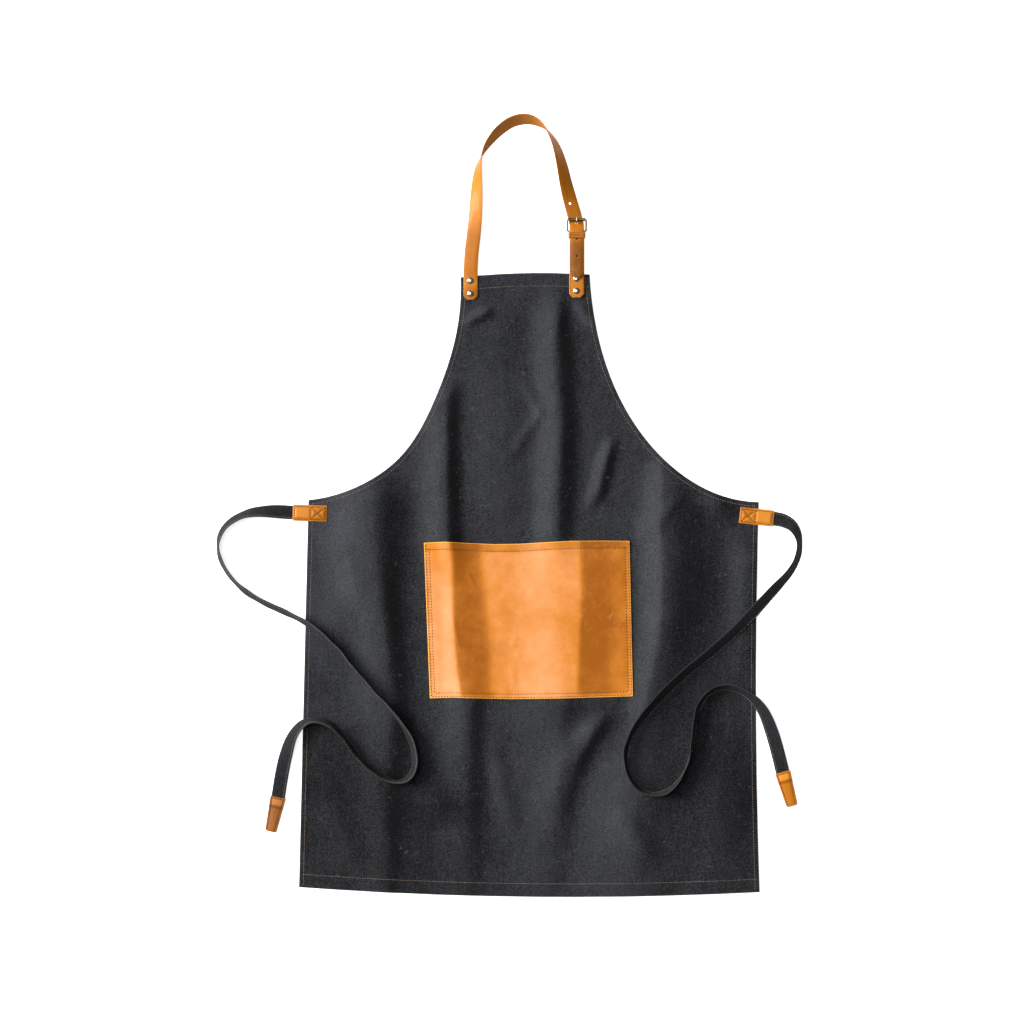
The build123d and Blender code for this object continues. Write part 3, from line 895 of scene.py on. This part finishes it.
def wandering(points):
    """The pocket's true outline: its mouth and bottom edge aren't quite straight."""
    low, high = POCKET_CORNERS[0][1] * MM, POCKET_CORNERS[2][1] * MM
    share = np.clip((points[:, 1] - low) / (high - low), 0, 1)
    left, right = POCKET_CORNERS[3][0] * MM, POCKET_CORNERS[1][0] * MM
    across = (points[:, 0] - left) / (right - left)
    mouth = np.interp(across, *np.array(MOUTH_WAVE).T)
    bottom = np.interp(across, *np.array(BOTTOM_WAVE).T)
    shift = (mouth * share + bottom * (1 - share)) * MM
    return np.column_stack([points[:, 0], points[:, 1] + shift])


pocket_sides = [
    wandering(resampled([start, end], 2.5 * MM))
    for start, end in zip(pocket_ring, np.roll(pocket_ring, -1, axis=0))
]
pocket_ring = np.vstack([s[:-1] for s in pocket_sides])
pocket_mouth = max(pocket_sides, key=lambda s: s[:, 1].min())
sewn_sides = [s for s in pocket_sides if s is not pocket_mouth]


def from_sewn_sides(points):
    """How far each point is from the panel's sewn edges."""
    return np.min([away_from(points, side) for side in sewn_sides], axis=0)


POCKET_LIFT = 0.15 * MM  # the panel's clearance over the cloth
POCKET_SWELL = 0.6 * MM  # how much more it lifts inside its sewn edges
SWELL_START, SWELL_WIDTH = 3 * MM, 13 * MM
POCKET_DIP_WIDTH, POCKET_DIP = 1.0 * MM, 0.2 * MM  # what the stitches pull in
POCKET_EDGE_RADIUS = 0.6 * MM
MOUTH_RAISE = 0.5 * MM  # the mouth is turned over and so doubled


def pocket_bed(points):
    """The underside of the panel before its edges are eased."""
    rise = smooth_step((from_sewn_sides(points) - SWELL_START) / SWELL_WIDTH)
    own = POCKET_SWELL + wrinkled(points, POCKET_WRINKLES) * MM
    own -= small_waves(points) * calm(points)
    return cloth_face(points) + POCKET_LIFT + rise * own


pocket_seam_lines = []
for side in sewn_sides:
    for distance in (POCKET_SEAM, POCKET_INNER_SEAM):
        line = side + sideways(side) * distance
        line = line[away_from(line, pocket_ring, closed=True) > distance * 0.96]
        pocket_seam_lines.append(line)
mouth_line = pocket_mouth + sideways(pocket_mouth) * MOUTH_SEAM
pocket_seam_lines.append(mouth_line[from_sewn_sides(mouth_line) > POCKET_SEAM])


def pocket_top(points):
    """The panel's finish face, with a doubled mouth, stitches pulled in and eased edges."""
    hem = smooth_step((MOUTH_SEAM + 1.5 * MM - away_from(points, pocket_mouth)) / (2 * MM))
    dip = pressed(points, pocket_seam_lines, POCKET_DIP_WIDTH, POCKET_DIP)
    drop = eased(points, pocket_ring, POCKET_EDGE_RADIUS)
    return pocket_bed(points) + POCKET_LEATHER + MOUTH_RAISE * hem - dip - drop


pocket = slab(
    "pocket_leather", pocket_ring, 3 * MM, pocket_top, pocket_bed, [LEATHER, FLESH, EDGE], 0.5 * MM,
    rim=0.85 * MM,
)
pocket_points = np.array([v.co[:2] for v in pocket.data.vertices])
# Painted light and shade on the pocket: darker on slopes facing away from the key light, lighter
# on slopes facing it and a little lighter all over; and darker along its doubled mouth, which
# starts right of its left corner
AWAY_SHADE, TOWARD_SHADE = 3.4, 1.5
POCKET_STEEPEST_AWAY, POCKET_STEEPEST_TOWARD = -0.09, 0.12
WRINKLE_SHARE = 0.5
POCKET_SHADE = 0.02
MOUTH_SHADE, MOUTH_SHADE_X, MOUTH_SHADE_EASE = -0.13, -125, 20

pocket_lean = leaning(pocket_profile, pocket_points)
pocket_lean += WRINKLE_SHARE * leaning(
    lambda points: wrinkled(points, POCKET_WRINKLES) * MM, pocket_points
)
inner = smooth_step(from_sewn_sides(pocket_points) / (8 * MM))
turned_over = away_from(pocket_points, pocket_mouth) < MOUTH_SEAM - 1 * MM
right_of_corner = smooth_step((pocket_points[:, 0] / MM - MOUTH_SHADE_X) / MOUTH_SHADE_EASE)
away = AWAY_SHADE * np.clip(pocket_lean, POCKET_STEEPEST_AWAY, 0)
toward = TOWARD_SHADE * np.clip(pocket_lean, 0, POCKET_STEEPEST_TOWARD)
pocket_shade = (away + toward) * inner
pocket_shade += POCKET_SHADE
pocket_shade += MOUTH_SHADE * turned_over * right_of_corner
paint(pocket, pocket_shade)
settle(pocket, "pocket_panel")

stitches(
    "pocket_stitching",
    [on_surface(resampled(line, 1.5 * MM), pocket_top) for line in pocket_seam_lines],
    DARK_THREAD, pitch=4.2 * MM, gap=1.7 * MM, width=1.2 * MM,
)

# ---------------------------------------------------------------- neck strap

STRAP_WIDTH = 20.5
STRAP = 2.0
END_CHAMFER = 5.0
CHAMFERED_END = (-91.2, 298.4, 3.7)
BUCKLE_X = 62.6
TAIL_TOP = (62.6, 396.0, 9.4)
TAIL_END = (62.6, 329.3, 9.4)

# The strap's course from the bib to the buckle: x, y, z of its middle, and how far it banks
STRAP_COURSE = [
    (-91.2, 343.0, 3.7, 0),
    (-89.6, 368.0, 3.8, 3),
    (-86.8, 392.0, 4.1, 9),
    (-84.2, 421.0, 5.3, 21),
    (-82.4, 453.0, 7.3, 35),
    (-81.6, 470.0, 8.4, 46),
    (-80.3, 485.5, 9.7, 60),
    (-78.4, 496.5, 10.4, 74),
    (-75.2, 506.5, 10.7, 90),
    (-69.6, 518.0, 10.2, 107),
    (-60.5, 531.0, 9.4, 121),
    (-47.0, 545.0, 8.7, 132),
    (-31.5, 555.4, 8.4, 135),
    (-16.0, 559.6, 8.4, 134),
    (-3.0, 558.6, 9.1, 126),
    (7.5, 553.8, 9.9, 112),
    (16.2, 546.8, 10.6, 93),
    (24.6, 536.0, 10.2, 75),
    (30.6, 525.5, 9.7, 63),
    (35.0, 514.5, 9.1, 54),
    (40.4, 496.0, 8.0, 42),
    (47.2, 465.0, 6.3, 26),
    (54.0, 438.5, 5.4, 11),
    (58.2, 424.0, 5.0, 2),
    (60.8, 414.1, 4.3, 0),
    (62.3, 407.6, 6.4, 0),
    (62.6, 401.4, 8.6, 0),
    (62.6, 396.0, 9.4, 0),
]


def smooth_through(table, step):
    """A smooth line through a table of points, resampled about a step apart."""
    table = np.asarray(table, dtype=float)
    chord = np.linalg.norm(np.diff(table[:, :3], axis=0), axis=1)
    run = np.concatenate([[0], np.cumsum(chord)])
    slope = np.empty_like(table)
    steps = np.diff(table, axis=0) / chord[:, None]
    share = (chord[1:] / (chord[1:] + chord[:-1]))[:, None]
    slope[1:-1] = steps[:-1] * share + steps[1:] * (1 - share)
    slope[0], slope[-1] = steps[0], steps[-1]
    at = np.linspace(0, run[-1], int(run[-1] / step) + 1)
    index = np.clip(np.searchsorted(run, at, side="right") - 1, 0, len(chord) - 1)
    span = chord[index][:, None]
    t = ((at - run[index]) / chord[index])[:, None]
    a, b = table[index], table[index + 1]
    ma, mb = slope[index] * span, slope[index + 1] * span
    return (
        (2 * t**3 - 3 * t**2 + 1) * a
        + (t**3 - 2 * t**2 + t) * ma
        + (3 * t**2 - 2 * t**3) * b
        + (t**3 - t**2) * mb
    )


def eased_steps(length, fine):
    """Distances from an end of a strap, closer together near that end."""
    return np.unique(np.concatenate([np.linspace(0, fine, 9), np.arange(fine, length, 3.0)]))


def banked(middle, bank):
    """Directions across a strap and up from its finish face, for a run and its bank."""
    run = unit(np.gradient(middle, axis=0))
    outward = unit(np.column_stack([-run[:, 1], run[:, 0], np.zeros(len(run))]))
    upward = np.cross(run, outward)
    c, s = np.cos(np.radians(bank))[:, None], np.sin(np.radians(bank))[:, None]
    return outward * c - upward * s, outward * s + upward * c


course = smooth_through(STRAP_COURSE, 2.5)
from_end = eased_steps(STRAP_COURSE[0][1] - CHAMFERED_END[1], END_CHAMFER)
lower = np.array([[CHAMFERED_END[0], CHAMFERED_END[1] + d, CHAMFERED_END[2], 0] for d in from_end])
TAIL_LENGTH = TAIL_TOP[1] - TAIL_END[1]
ROUND = STRAP_WIDTH / 2
tip_angles = np.radians(np.linspace(90, 4, 14))
to_end = np.concatenate(
    [np.arange(TAIL_LENGTH - 2.5, ROUND, -3.0), ROUND * (1 - np.cos(tip_angles))]
)
tail = np.array([[TAIL_END[0], TAIL_END[1] + d, TAIL_END[2], 0] for d in to_end])
whole = np.vstack([lower, course, tail])
half = np.full(len(whole), STRAP_WIDTH / 2)
chamfer = np.clip(from_end / END_CHAMFER, 0, 1)
half[: len(lower)] = STRAP_WIDTH / 2 - END_CHAMFER * (1 - chamfer)
rounded_half = np.sqrt(np.clip(ROUND**2 - (ROUND - to_end) ** 2, 0, None))
tail_half = np.where(to_end < ROUND, rounded_half, ROUND)
half[len(lower) + len(course) :] = tail_half
strap_across, strap_up = banked(whole[:, :3], whole[:, 3])
strap = ribbon(
    "neck_strap_leather", whole[:, :3] * MM, strap_across, strap_up, half * MM, STRAP * MM,
    STRAP_LEATHER, crown=0.12 * MM, groove=0.16 * MM,
)

STRAP_HOLE_RADIUS = 2.0
STRAP_HOLES = [
    ((62.6, 361.0, 9.4), (0, 0, 1)),
    ((62.6, 386.4, 9.4), (0, 0, 1)),
    ((52.6, 437.5, 4.9), (math.sin(math.radians(10)), 0, math.cos(math.radians(10)))),
]
# The hole that the prong stands in, which leans with the strap and fits the prong closely
PRONG_HOLE = ((62.6, 409.1, 5.6), (0, math.sin(math.radians(14)), math.cos(math.radians(14))))
PRONG_HOLE_RADIUS = 1.8


def holes(places, radius):
    """Tools that cut round holes through the strap."""
    length = 4 * STRAP
    return [round_tool(Vector(p) * MM, axis, radius * MM, length * MM) for p, axis in places]


# Light and shade painted along the strap, darker towards its free end: (share of the length, amount)
STRAP_PAINTED_SHADE = [(0, -0.08), (0.045, -0.16), (0.06, 0.0), (0.08, -0.1), (0.16, -0.06), (0.25, 0.05),
              (0.5, 0), (0.6, -0.1), (0.74, -0.1), (0.8, -0.1), (0.87, -0.08), (0.89, -0.22),
              (1, -0.3)]
strap_shade_along = np.interp(np.linspace(0, 1, len(whole)), *np.array(STRAP_PAINTED_SHADE).T)
paint(strap, np.repeat(strap_shade_along, len(AROUND)))
cut(strap, *holes(STRAP_HOLES, STRAP_HOLE_RADIUS), *holes([PRONG_HOLE], PRONG_HOLE_RADIUS))
settle(strap, "neck_strap")

# ---------------------------------------------------------------- buckle strap

BUCKLE_STRAP_WIDTH = 21.5
BUCKLE_STRAP_LEATHER = 1.8
BUCKLE_STRAP_END_Y = 301.4
BUCKLE_STRAP_LOW = 2.7  # height of its underside
BUCKLE_STRAP_STRAIGHT = 86
HEEL_Y, HEEL_Z = 397.5, 5.1
TUNNEL = 1.15  # inside radius of the fold round the heel bar
PRONG_SLOT_WIDTH = 4.0
PRONG_SLOT_START_Y = 391.0

front_z = BUCKLE_STRAP_LOW + 1.5 * BUCKLE_STRAP_LEATHER
back_z = BUCKLE_STRAP_LOW + 0.5 * BUCKLE_STRAP_LEATHER
turn_radius = TUNNEL + BUCKLE_STRAP_LEATHER / 2
front = [(BUCKLE_STRAP_END_Y + d, front_z) for d in eased_steps(BUCKLE_STRAP_STRAIGHT, END_CHAMFER)]
turn = [
    (HEEL_Y + turn_radius * math.sin(a), HEEL_Z + turn_radius * math.cos(a))
    for a in np.linspace(math.radians(-40), math.radians(220), 24)
]
back = [(y, back_z) for y, _ in front[::-1]]
fold = np.array(front + turn + back)
fold[:, 1] = np.maximum(fold[:, 1], back_z)
fold_line = np.column_stack([np.full(len(fold), BUCKLE_X), fold])
fold_across = np.tile(-X, (len(fold), 1))
fold_up = np.cross(unit(np.gradient(fold_line, axis=0)), fold_across)
fold_half = BUCKLE_STRAP_WIDTH / 2 - END_CHAMFER * (
    1 - np.clip((fold[:, 0] - BUCKLE_STRAP_END_Y) / END_CHAMFER, 0, 1)
)
buckle_strap = ribbon(
    "buckle_strap_leather", fold_line * MM, fold_across, fold_up, fold_half * MM,
    BUCKLE_STRAP_LEATHER * MM, STRAP_LEATHER, crown=0.06 * MM,
)
slot_low = (BUCKLE_X - PRONG_SLOT_WIDTH / 2, PRONG_SLOT_START_Y, -2)
slot_high = (BUCKLE_X + PRONG_SLOT_WIDTH / 2, 2 * HEEL_Y - PRONG_SLOT_START_Y, 14)
cut(buckle_strap, box_tool([v * MM for v in slot_low], [v * MM for v in slot_high]))
settle(buckle_strap, "buckle_strap")


def strap_end_row(inset, high):
    """A seam inside the buckle strap's end: up one side, round the end and up the other."""
    x, y = BUCKLE_X, BUCKLE_STRAP_END_Y
    w = BUCKLE_STRAP_WIDTH / 2 - inset
    c = END_CHAMFER - 0.4 * inset
    z = (BUCKLE_STRAP_LOW + 2 * BUCKLE_STRAP_LEATHER + 0.02) * MM
    line = [(x - w, high), (x - w, y + inset + c), (x - w + c, y + inset)]
    line += [(x + w - c, y + inset), (x + w, y + inset + c), (x + w, high)]
    line = resampled(np.array(line) * MM, 1.2 * MM)
    return np.column_stack([line, np.full(len(line), z)]), np.tile(Z, (len(line), 1))


stitches("buckle_strap_stitching", [strap_end_row(1.8, 386.0)], DARK_THREAD, pitch=2.8 * MM)

# ---------------------------------------------------------------- keeper

KEEPER_LEATHER = 1.2 * MM
KEEPER_CORNER = 1.4 * MM
keeper_low, keeper_high = corners_of("strap_keeper")
keeper_middle = (keeper_low + keeper_high) / 2
keeper_half = (keeper_high - keeper_low) / 2
loop_half = keeper_half - KEEPER_LEATHER / 2
loop = rounded_rectangle(loop_half[0], loop_half[2], KEEPER_CORNER, 0.8 * MM, 7)
loop_out = -sideways(loop, closed=True)
keeper_line = np.column_stack([
    keeper_middle[0] + loop[:, 0],
    np.full(len(loop), keeper_middle[1]),
    keeper_middle[2] + loop[:, 1],
])
keeper_up = np.column_stack([loop_out[:, 0], np.zeros(len(loop)), loop_out[:, 1]])
keeper = ribbon(
    "keeper_leather", keeper_line, np.tile(Y, (len(loop), 1)), keeper_up, keeper_half[1],
    KEEPER_LEATHER, STRAP_LEATHER, closed=True, groove=0.12 * MM,
)
paint(keeper, -0.14 - 0.12 * np.cos(np.tile(AROUND, len(loop)) * 9))
settle(keeper, "strap_keeper", body="strap_keeper")


def keeper_row(offset):
    """A row of stitches across the keeper, an offset up the strap from its middle."""
    top = keeper_high[2] - 0.02 * MM
    reach = keeper_half[0] - 2.4 * MM
    line = resampled([(keeper_middle[0] - reach, keeper_middle[1] + offset, top),
                      (keeper_middle[0] + reach, keeper_middle[1] + offset, top)], MM)
    return line, np.tile(Z, (len(line), 1))


stitches(
    "keeper_stitching", [keeper_row(3.1 * MM), keeper_row(0.2 * MM)], DARK_THREAD,
    pitch=2.9 * MM, gap=1.1 * MM, body="strap_keeper",
)

# ---------------------------------------------------------------- tabs

TAB_LENGTH, TAB_WIDTH, TAB_LEATHER = 50.0, 23.6, 1.2
TAB_CORNER = 1.5
TABS = {"left": (-324.1, -11.0, -1.9), "right": (323.5, -16.3, -6.0)}  # x, y and turn
TOWARD_CLOTH = {"left": 1, "right": -1}
TAB_SEAM = 2.6  # from the tab's edge
TAB_SWELL = 1.5 * MM


def placed(points, place):
    """Tab coordinates in millimetres, turned and moved to the tab's place, in metres."""
    x, y, turn = place
    c, s = math.cos(math.radians(turn)), math.sin(math.radians(turn))
    points = np.asarray(points, dtype=float)
    return np.column_stack(
        [x + c * points[:, 0] - s * points[:, 1], y + s * points[:, 0] + c * points[:, 1]]
    ) * MM


def tab_outline(side):
    corners = rounded_rectangle(TAB_LENGTH / 2, TAB_WIDTH / 2, TAB_CORNER, 0.9, 6)
    return placed(corners, TABS[side])


def tab_rows(toward_cloth):
    """The tab's stitches: a frame, a line at the cloth's edge and a cross over the cloth."""
    w, h = TAB_LENGTH / 2 - TAB_SEAM, TAB_WIDTH / 2 - TAB_SEAM
    inner, edge = w * toward_cloth, 1.5 * toward_cloth
    frame_row = [(-w, -h), (w, -h), (w, h), (-w, h), (-w, -h)]
    cross = [[(edge, -h), (inner, h)], [(edge, h), (inner, -h)]]
    return [frame_row, [(edge, -h), (edge, h)], *cross]


def build_tab(side):
    """The front piece, padded between its rows of stitches."""
    place, toward_cloth = TABS[side], TOWARD_CLOTH[side]
    rows = [placed(resampled(row, 1.2), place) for row in tab_rows(toward_cloth)]
    outline = tab_outline(side)

    def top(points):
        inside = smooth_step(away_from(points, outline, closed=True) / (6 * MM))
        dip = pressed(points, rows, 1.6 * MM, 1.0 * MM)
        drop = eased(points, outline, 0.6 * MM)
        return FACE + TAB_LEATHER * MM + TAB_SWELL * inside - dip * inside - 0.15 * MM - drop

    def bottom(points):
        return np.full(len(points), FACE)

    tab = slab(f"{side}_tab_leather", outline, 1.3 * MM, top, bottom,
               STRAP_LEATHER, 0.4 * MM)
    tab_points = np.array([v.co[:2] for v in tab.data.vertices])
    from_middle = (tab_points[:, 0] / MM - place[0]) * toward_cloth
    stitch_dip_shade = pressed(tab_points, rows, 2.2 * MM, 1.0)
    # Lighter on the half beyond the cloth and darker on the half over it, with painted shade in the
    # stitches' dips
    paint(tab, 0.12 - 0.14 * smooth_step(from_middle / 6) - 0.06 * stitch_dip_shade)
    settle(tab, f"{side}_tab_front")
    stitches(
        f"{side}_tab_stitching",
        [on_surface(row, top, 0.05 * MM) for row in rows],
        DARK_THREAD, pitch=3.4 * MM, gap=1.2 * MM, width=1.1 * MM,
    )


for tab_side in TABS:
    build_tab(tab_side)


def tab_back(side):
    """The plain piece behind the cloth."""
    outline = tab_outline(side)

    def top(points):
        return np.full(len(points), TAB_LEATHER * MM)

    def bottom(points):
        return eased(points, outline, 0.4 * MM)

    back = slab(f"{side}_tab_back_leather", outline, 2.5 * MM, top, bottom,
                [FLESH, STRAP_FACE, EDGE], 0.4 * MM)
    settle(back, f"{side}_tab_back")


for tab_side in TABS:
    tab_back(tab_side)

# ---------------------------------------------------------------- ties

TAPE_WIDTH, TAPE = 20.0, 1.5
TAPE_SEAM = 7.4  # from the tape's middle
TIP_ROOT, TIP_END, TIP_LENGTH = 22.8, 16.6, 51.2
TIP_CORNER = 2.5
TAPE_IN_TIP = 12.5  # how far from its root the tip is thicker, over the tape inside

# Each tie's course from inside its tab to inside its tip: x, y, z of the tape's middle, and how
# far it banks: 0 lies flat, 90 stands on edge and 180 lies on its other face
LEFT_TIE = [
    (-338.0, -10.4, 1.95, 0),
    (-349.9, -10.2, 1.95, 0),
    (-366, -9.0, 2.6, -8),
    (-388, -8.2, 6.2, -34),
    (-412, -10.2, 8.8, -54),
    (-434, -19, 9.6, -60),
    (-450.5, -33.5, 10.2, -68),
    (-458, -54, 10.6, -74),
    (-455, -77, 10.6, -74),
    (-441, -102, 10.4, -72),
    (-420, -123.5, 10.2, -68),
    (-390, -141.5, 10.2, -64),
    (-356, -156, 11.2, -66),
    (-320, -174.5, 13.6, -67),
    (-285, -206.5, 14.4, -72),
    (-252, -247.5, 15.4, -78),
    (-218, -283.5, 17.2, -80),
    (-189, -316.5, 16.4, -73),
    (-172, -351, 14.6, -63),
    (-171.5, -384, 14.6, -66),
    (-189, -402, 15.2, -74),
    (-216.5, -396, 15.6, -78),
    (-249, -372.5, 14.6, -78),
    (-274, -335.5, 13.8, -70),
    (-298, -312.5, 13.2, -70),
    (-328, -309, 12.8, -65),
    (-349, -330, 9.6, -46),
    (-360, -365, 3.6, -14),
    (-366, -395, 2.0, -2),
    (-370.1, -422.7, 1.95, 0),
    (-371.6, -432.6, 1.95, 0),
]
RIGHT_TIE = [
    (338.0, -17.8, 1.95, 0),
    (349.3, -19.1, 1.95, 0),
    (362, -21, 2.8, 10),
    (377.5, -30.5, 7.0, 40),
    (386, -50, 9.6, 60),
    (384, -74, 9.8, 64),
    (372, -97, 9.2, 56),
    (350, -120, 9.4, 44),
    (324, -148.5, 12.8, 36),
    (290, -185, 11.6, 38),
    (250, -218.5, 11.2, 42),
    (206, -254, 13.2, 46),
    (168, -293.5, 15.6, 54),
    (141, -328, 15.4, 66),
    (131, -362, 15.4, 72),
    (138, -395, 16.4, 74),
    (160, -417, 16.9, 75),
    (190, -418, 15.4, 77),
    (213, -397, 13.8, 84),
    (227.5, -364, 13.4, 98),
    (231.5, -328, 13.0, 106),
    (236, -294, 13.0, 110),
    (252, -269.5, 12.8, 112),
    (279, -260.5, 12.9, 114),
    (308, -271, 12.8, 120),
    (331, -292, 10.8, 136),
    (345, -326, 4.8, 162),
    (354, -357, 2.0, 176),
    (361.1, -386.3, 1.95, 180),
    (363.5, -396.0, 1.95, 180),
]


def route_line(name, points):
    """The smooth centreline of a tie: its route's points are a NURBS spline's control points."""
    data = bpy.data.curves.new(name, "CURVE")
    data.dimensions = "3D"
    data.resolution_u = 12
    spline = data.splines.new("NURBS")
    spline.points.add(len(points) - 1)
    for point, (x, y, z, _) in zip(spline.points, points):
        point.co = (x * MM, y * MM, z * MM, 1)
    spline.order_u = 3
    spline.use_endpoint_u = True
    bare = bpy.data.objects.new(name, data)
    mesh = bpy.data.meshes.new_from_object(bare)
    line = np.array([vertex.co[:] for vertex in mesh.vertices])
    bpy.data.objects.remove(bare)
    bpy.data.meshes.remove(mesh)
    return line


def bank_along(line, points):
    """The bank at each point of a line, from its values at the route's points."""
    controls = np.array([p[:3] for p in points]) * MM
    banks = np.array([p[3] for p in points], dtype=float)
    run = distances(line)
    nearest = [np.argmin(np.linalg.norm(line - c, axis=1)) for c in controls]
    bank = np.interp(run, run[nearest], banks)
    smooth = np.convolve(np.pad(bank, 6, "edge"), np.ones(13) / 13, "valid")
    creased = 3.0 * np.sin(run / (8.5 * MM)) + 2.0 * np.sin(run / (5.1 * MM) + 1)
    on_edge = np.abs(np.sin(np.radians(smooth))) ** 4
    return smooth + creased * on_edge


TIP_LEAN = {"left": -4, "right": 2}  # degrees that a tip hangs off its tape's last run


TIP_WAIST = 0.15  # how much wider each side is where the end's corners start than at the end
TIP_ARC_STEP = 0.9


def build_tip(side, points, material):
    """The leather end, folded over the tape's end and sewn."""
    root = np.array(points[-2][:2])
    run = root - np.array(points[-3][:2])
    run /= np.linalg.norm(run)
    turn = math.degrees(math.atan2(run[1], run[0])) + TIP_LEAN[side]
    run = np.array([math.cos(math.radians(turn)), math.sin(math.radians(turn))])
    place = (root[0], root[1], turn)
    half_root, half_end = TIP_ROOT / 2, TIP_END / 2
    line = [(0, -half_root), (TIP_LENGTH - TIP_CORNER, -half_end - TIP_WAIST)]
    for sign, start in ((-1, -90), (1, 0)):
        for angle in np.radians(np.linspace(start, start + 90, 6)):
            x = TIP_LENGTH - TIP_CORNER + TIP_CORNER * math.cos(angle)
            line.append((x, sign * (half_end - TIP_CORNER) + TIP_CORNER * math.sin(angle)))
    line += [(TIP_LENGTH - TIP_CORNER, half_end + TIP_WAIST), (0, half_root)]
    outline = placed(resampled(line, TIP_ARC_STEP, closed=True), place)
    inset = 2.8  # from the tip's edge to its stitches
    rows = [
        [(inset, -half_root + inset), (TIP_LENGTH - inset, -half_end + inset)],
        [(inset, half_root - inset), (TIP_LENGTH - inset, half_end - inset)],
        [(inset, -half_root + inset), (inset, half_root - inset)],
    ]
    rows = [placed(resampled(row, 1.0), place) for row in rows]
    across_run = np.array([-run[1], run[0]])

    def top(points):
        offset = points / MM - root
        along, aside = offset @ run, offset @ across_run
        tape_inside = 1 - smooth_step((along - TAPE_IN_TIP) / 4)
        domed = 0.5 * np.clip(1 - (aside / 9) ** 2, 0, 1)
        creases = 0.14 * np.sin(along * 1.7 + 0.25 * aside) * smooth_step((along - 30) / 10)
        height = 2.9 + 0.95 * tape_inside + domed + creases
        dip = pressed(points, rows, 1.3 * MM, 0.45 * MM)
        drop = eased(points, outline, 0.9 * MM)
        return height * MM - dip - drop

    def bottom(points):
        return eased(points, outline, 0.6 * MM)

    tip = slab(f"{side}_tie_tip_leather", outline, 1.2 * MM, top, bottom,
               [material, material, STRAP_EDGE], 0.4 * MM)
    tip_points = np.array([v.co[:2] for v in tip.data.vertices])
    along = (tip_points / MM - root) @ run
    aside = np.abs((tip_points / MM - root) @ across_run)
    pad = smooth_step((TAPE_IN_TIP - along) / 2) * smooth_step((along - 2) / 2)
    pad *= smooth_step((8.5 - aside) / 2)
    below = np.exp(-(((along - 15) / 2.2) ** 2))
    stitch_dip_shade = pressed(tip_points, rows, 1.6 * MM, 1.0)
    # Lighter on the raised pad over the tape, a painted shadow just below its step and painted shade in
    # the stitches' dips
    paint(tip, 0.25 * pad - 0.14 * below - 0.08 * stitch_dip_shade - 0.03)
    settle(tip, f"{side}_tie_tip")
    sewn = stitches(
        f"{side}_tie_tip_stitching",
        [on_surface(row, top, 0.04 * MM) for row in rows],
        DARK_THREAD, pitch=3.4 * MM, gap=1.3 * MM, width=1.1 * MM,
    )
    return tip, sewn


# A painted highlight along the tape's edges
TAPE_EDGE_HIGHLIGHT = 0.8  # how much lighter the tape's edges are painted


def build_tie(side, points, material):
    """A tape on its course, with its stitches and its leather tip."""
    line = route_line(f"{side}_tie_line", points)
    across, up = banked(line, bank_along(line, points))
    tape = ribbon(f"{side}_tie_folded_tape", line, across, up, TAPE_WIDTH / 2 * MM, TAPE * MM,
                  [TAPE_CANVAS], crown=0.12 * MM)
    paint(tape, np.tile(TAPE_EDGE_HIGHLIGHT * np.abs(AROUND) ** 10, len(line)))
    offset = line + across * TAPE_SEAM * MM
    lift = (TAPE / 2 + 0.03) * MM
    rows = [(offset + up * lift, up), (offset - up * lift, -up)]
    sewn = stitches(f"{side}_tie_stitching", rows, THREAD, pitch=3.6 * MM, width=0.7 * MM)
    tip, tip_sewn = build_tip(side, points, material)
    settle(tape, f"{side}_tie_tape")


LEFT_TIP = leather_material(
    "leather_tip_brown", (0.17, 0.055, 0.008), (0.32, 0.105, 0.015), (0.50, 0.19, 0.05),
    rough=0.42, coat=0.15,
)
build_tie("left", LEFT_TIE, LEFT_TIP)
build_tie("right", RIGHT_TIE, STRAP_FACE)

# ---------------------------------------------------------------- metal kept from the CAD

for node, material in (
    ("buckle_frame", BRASS),
    ("buckle_roller", BRASS),
    ("buckle_prong", BRASS),
    ("neck_strap_rivet_caps", RIVET),
    ("buckle_strap_rivet_caps", RIVET),
    ("neck_strap_rivet_backs", RIVET),
    ("buckle_strap_rivet_backs", RIVET),
):
    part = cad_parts[node]
    if not part.material_slots:
        part.data.materials.append(material)
    for material_slot in part.material_slots:
        material_slot.material = material

# ---------------------------------------------------------------- floor and light

paper = Shader("floor_paper")
paper.set(Roughness=0.9, Base_Color=(0.88, 0.885, 0.89), Specular_IOR_Level=0.1)
paper.set(Emission_Color=(0.98, 0.99, 1.0), Emission_Strength=0.78)  # so that it renders white
paper.bump((paper.noise(300, 2.0), 0.05, 0.0003))
FLOOR_REACH, FLOOR_Z = 9, -0.0002
floor_sides = ((-1, -1), (1, -1), (1, 1), (-1, 1))
floor_corners = [(x * FLOOR_REACH, y * FLOOR_REACH, FLOOR_Z) for x, y in floor_sides]
floor = new_mesh("floor", floor_corners, [(0, 1, 2, 3)], [paper.material], smooth=False)


SUN_FROM = 163  # degrees anticlockwise from +X
SUN_HEIGHT = 31  # degrees above the table
sun_data = bpy.data.lights.new("key", "SUN")
sun_data.energy = 5.8
sun_data.angle = math.radians(34)
sun_data.color = (1.0, 0.985, 0.965)
sun = bpy.data.objects.new("key", sun_data)
sun.rotation_euler = (0, math.radians(90 - SUN_HEIGHT), math.radians(SUN_FROM))
scene.collection.objects.link(sun)

softbox_data = bpy.data.lights.new("softbox", "AREA")
softbox_data.shape = "SQUARE"
softbox_data.size = 5.0
softbox_data.energy = 360
softbox_data.color = (0.97, 0.985, 1.0)
softbox = bpy.data.objects.new("softbox", softbox_data)
softbox.location = (-2.6, 1.3, 8.5)
softbox.rotation_euler = (-softbox.location).to_track_quat("-Z", "Y").to_euler()  # at the origin
scene.collection.objects.link(softbox)

world = bpy.data.worlds.new("studio")
world.use_nodes = True
world.node_tree.nodes["Background"].inputs["Color"].default_value = (0.95, 0.97, 1.0, 1.0)
world.node_tree.nodes["Background"].inputs["Strength"].default_value = 0.12
scene.world = world
scene.view_settings.view_transform = "Standard"
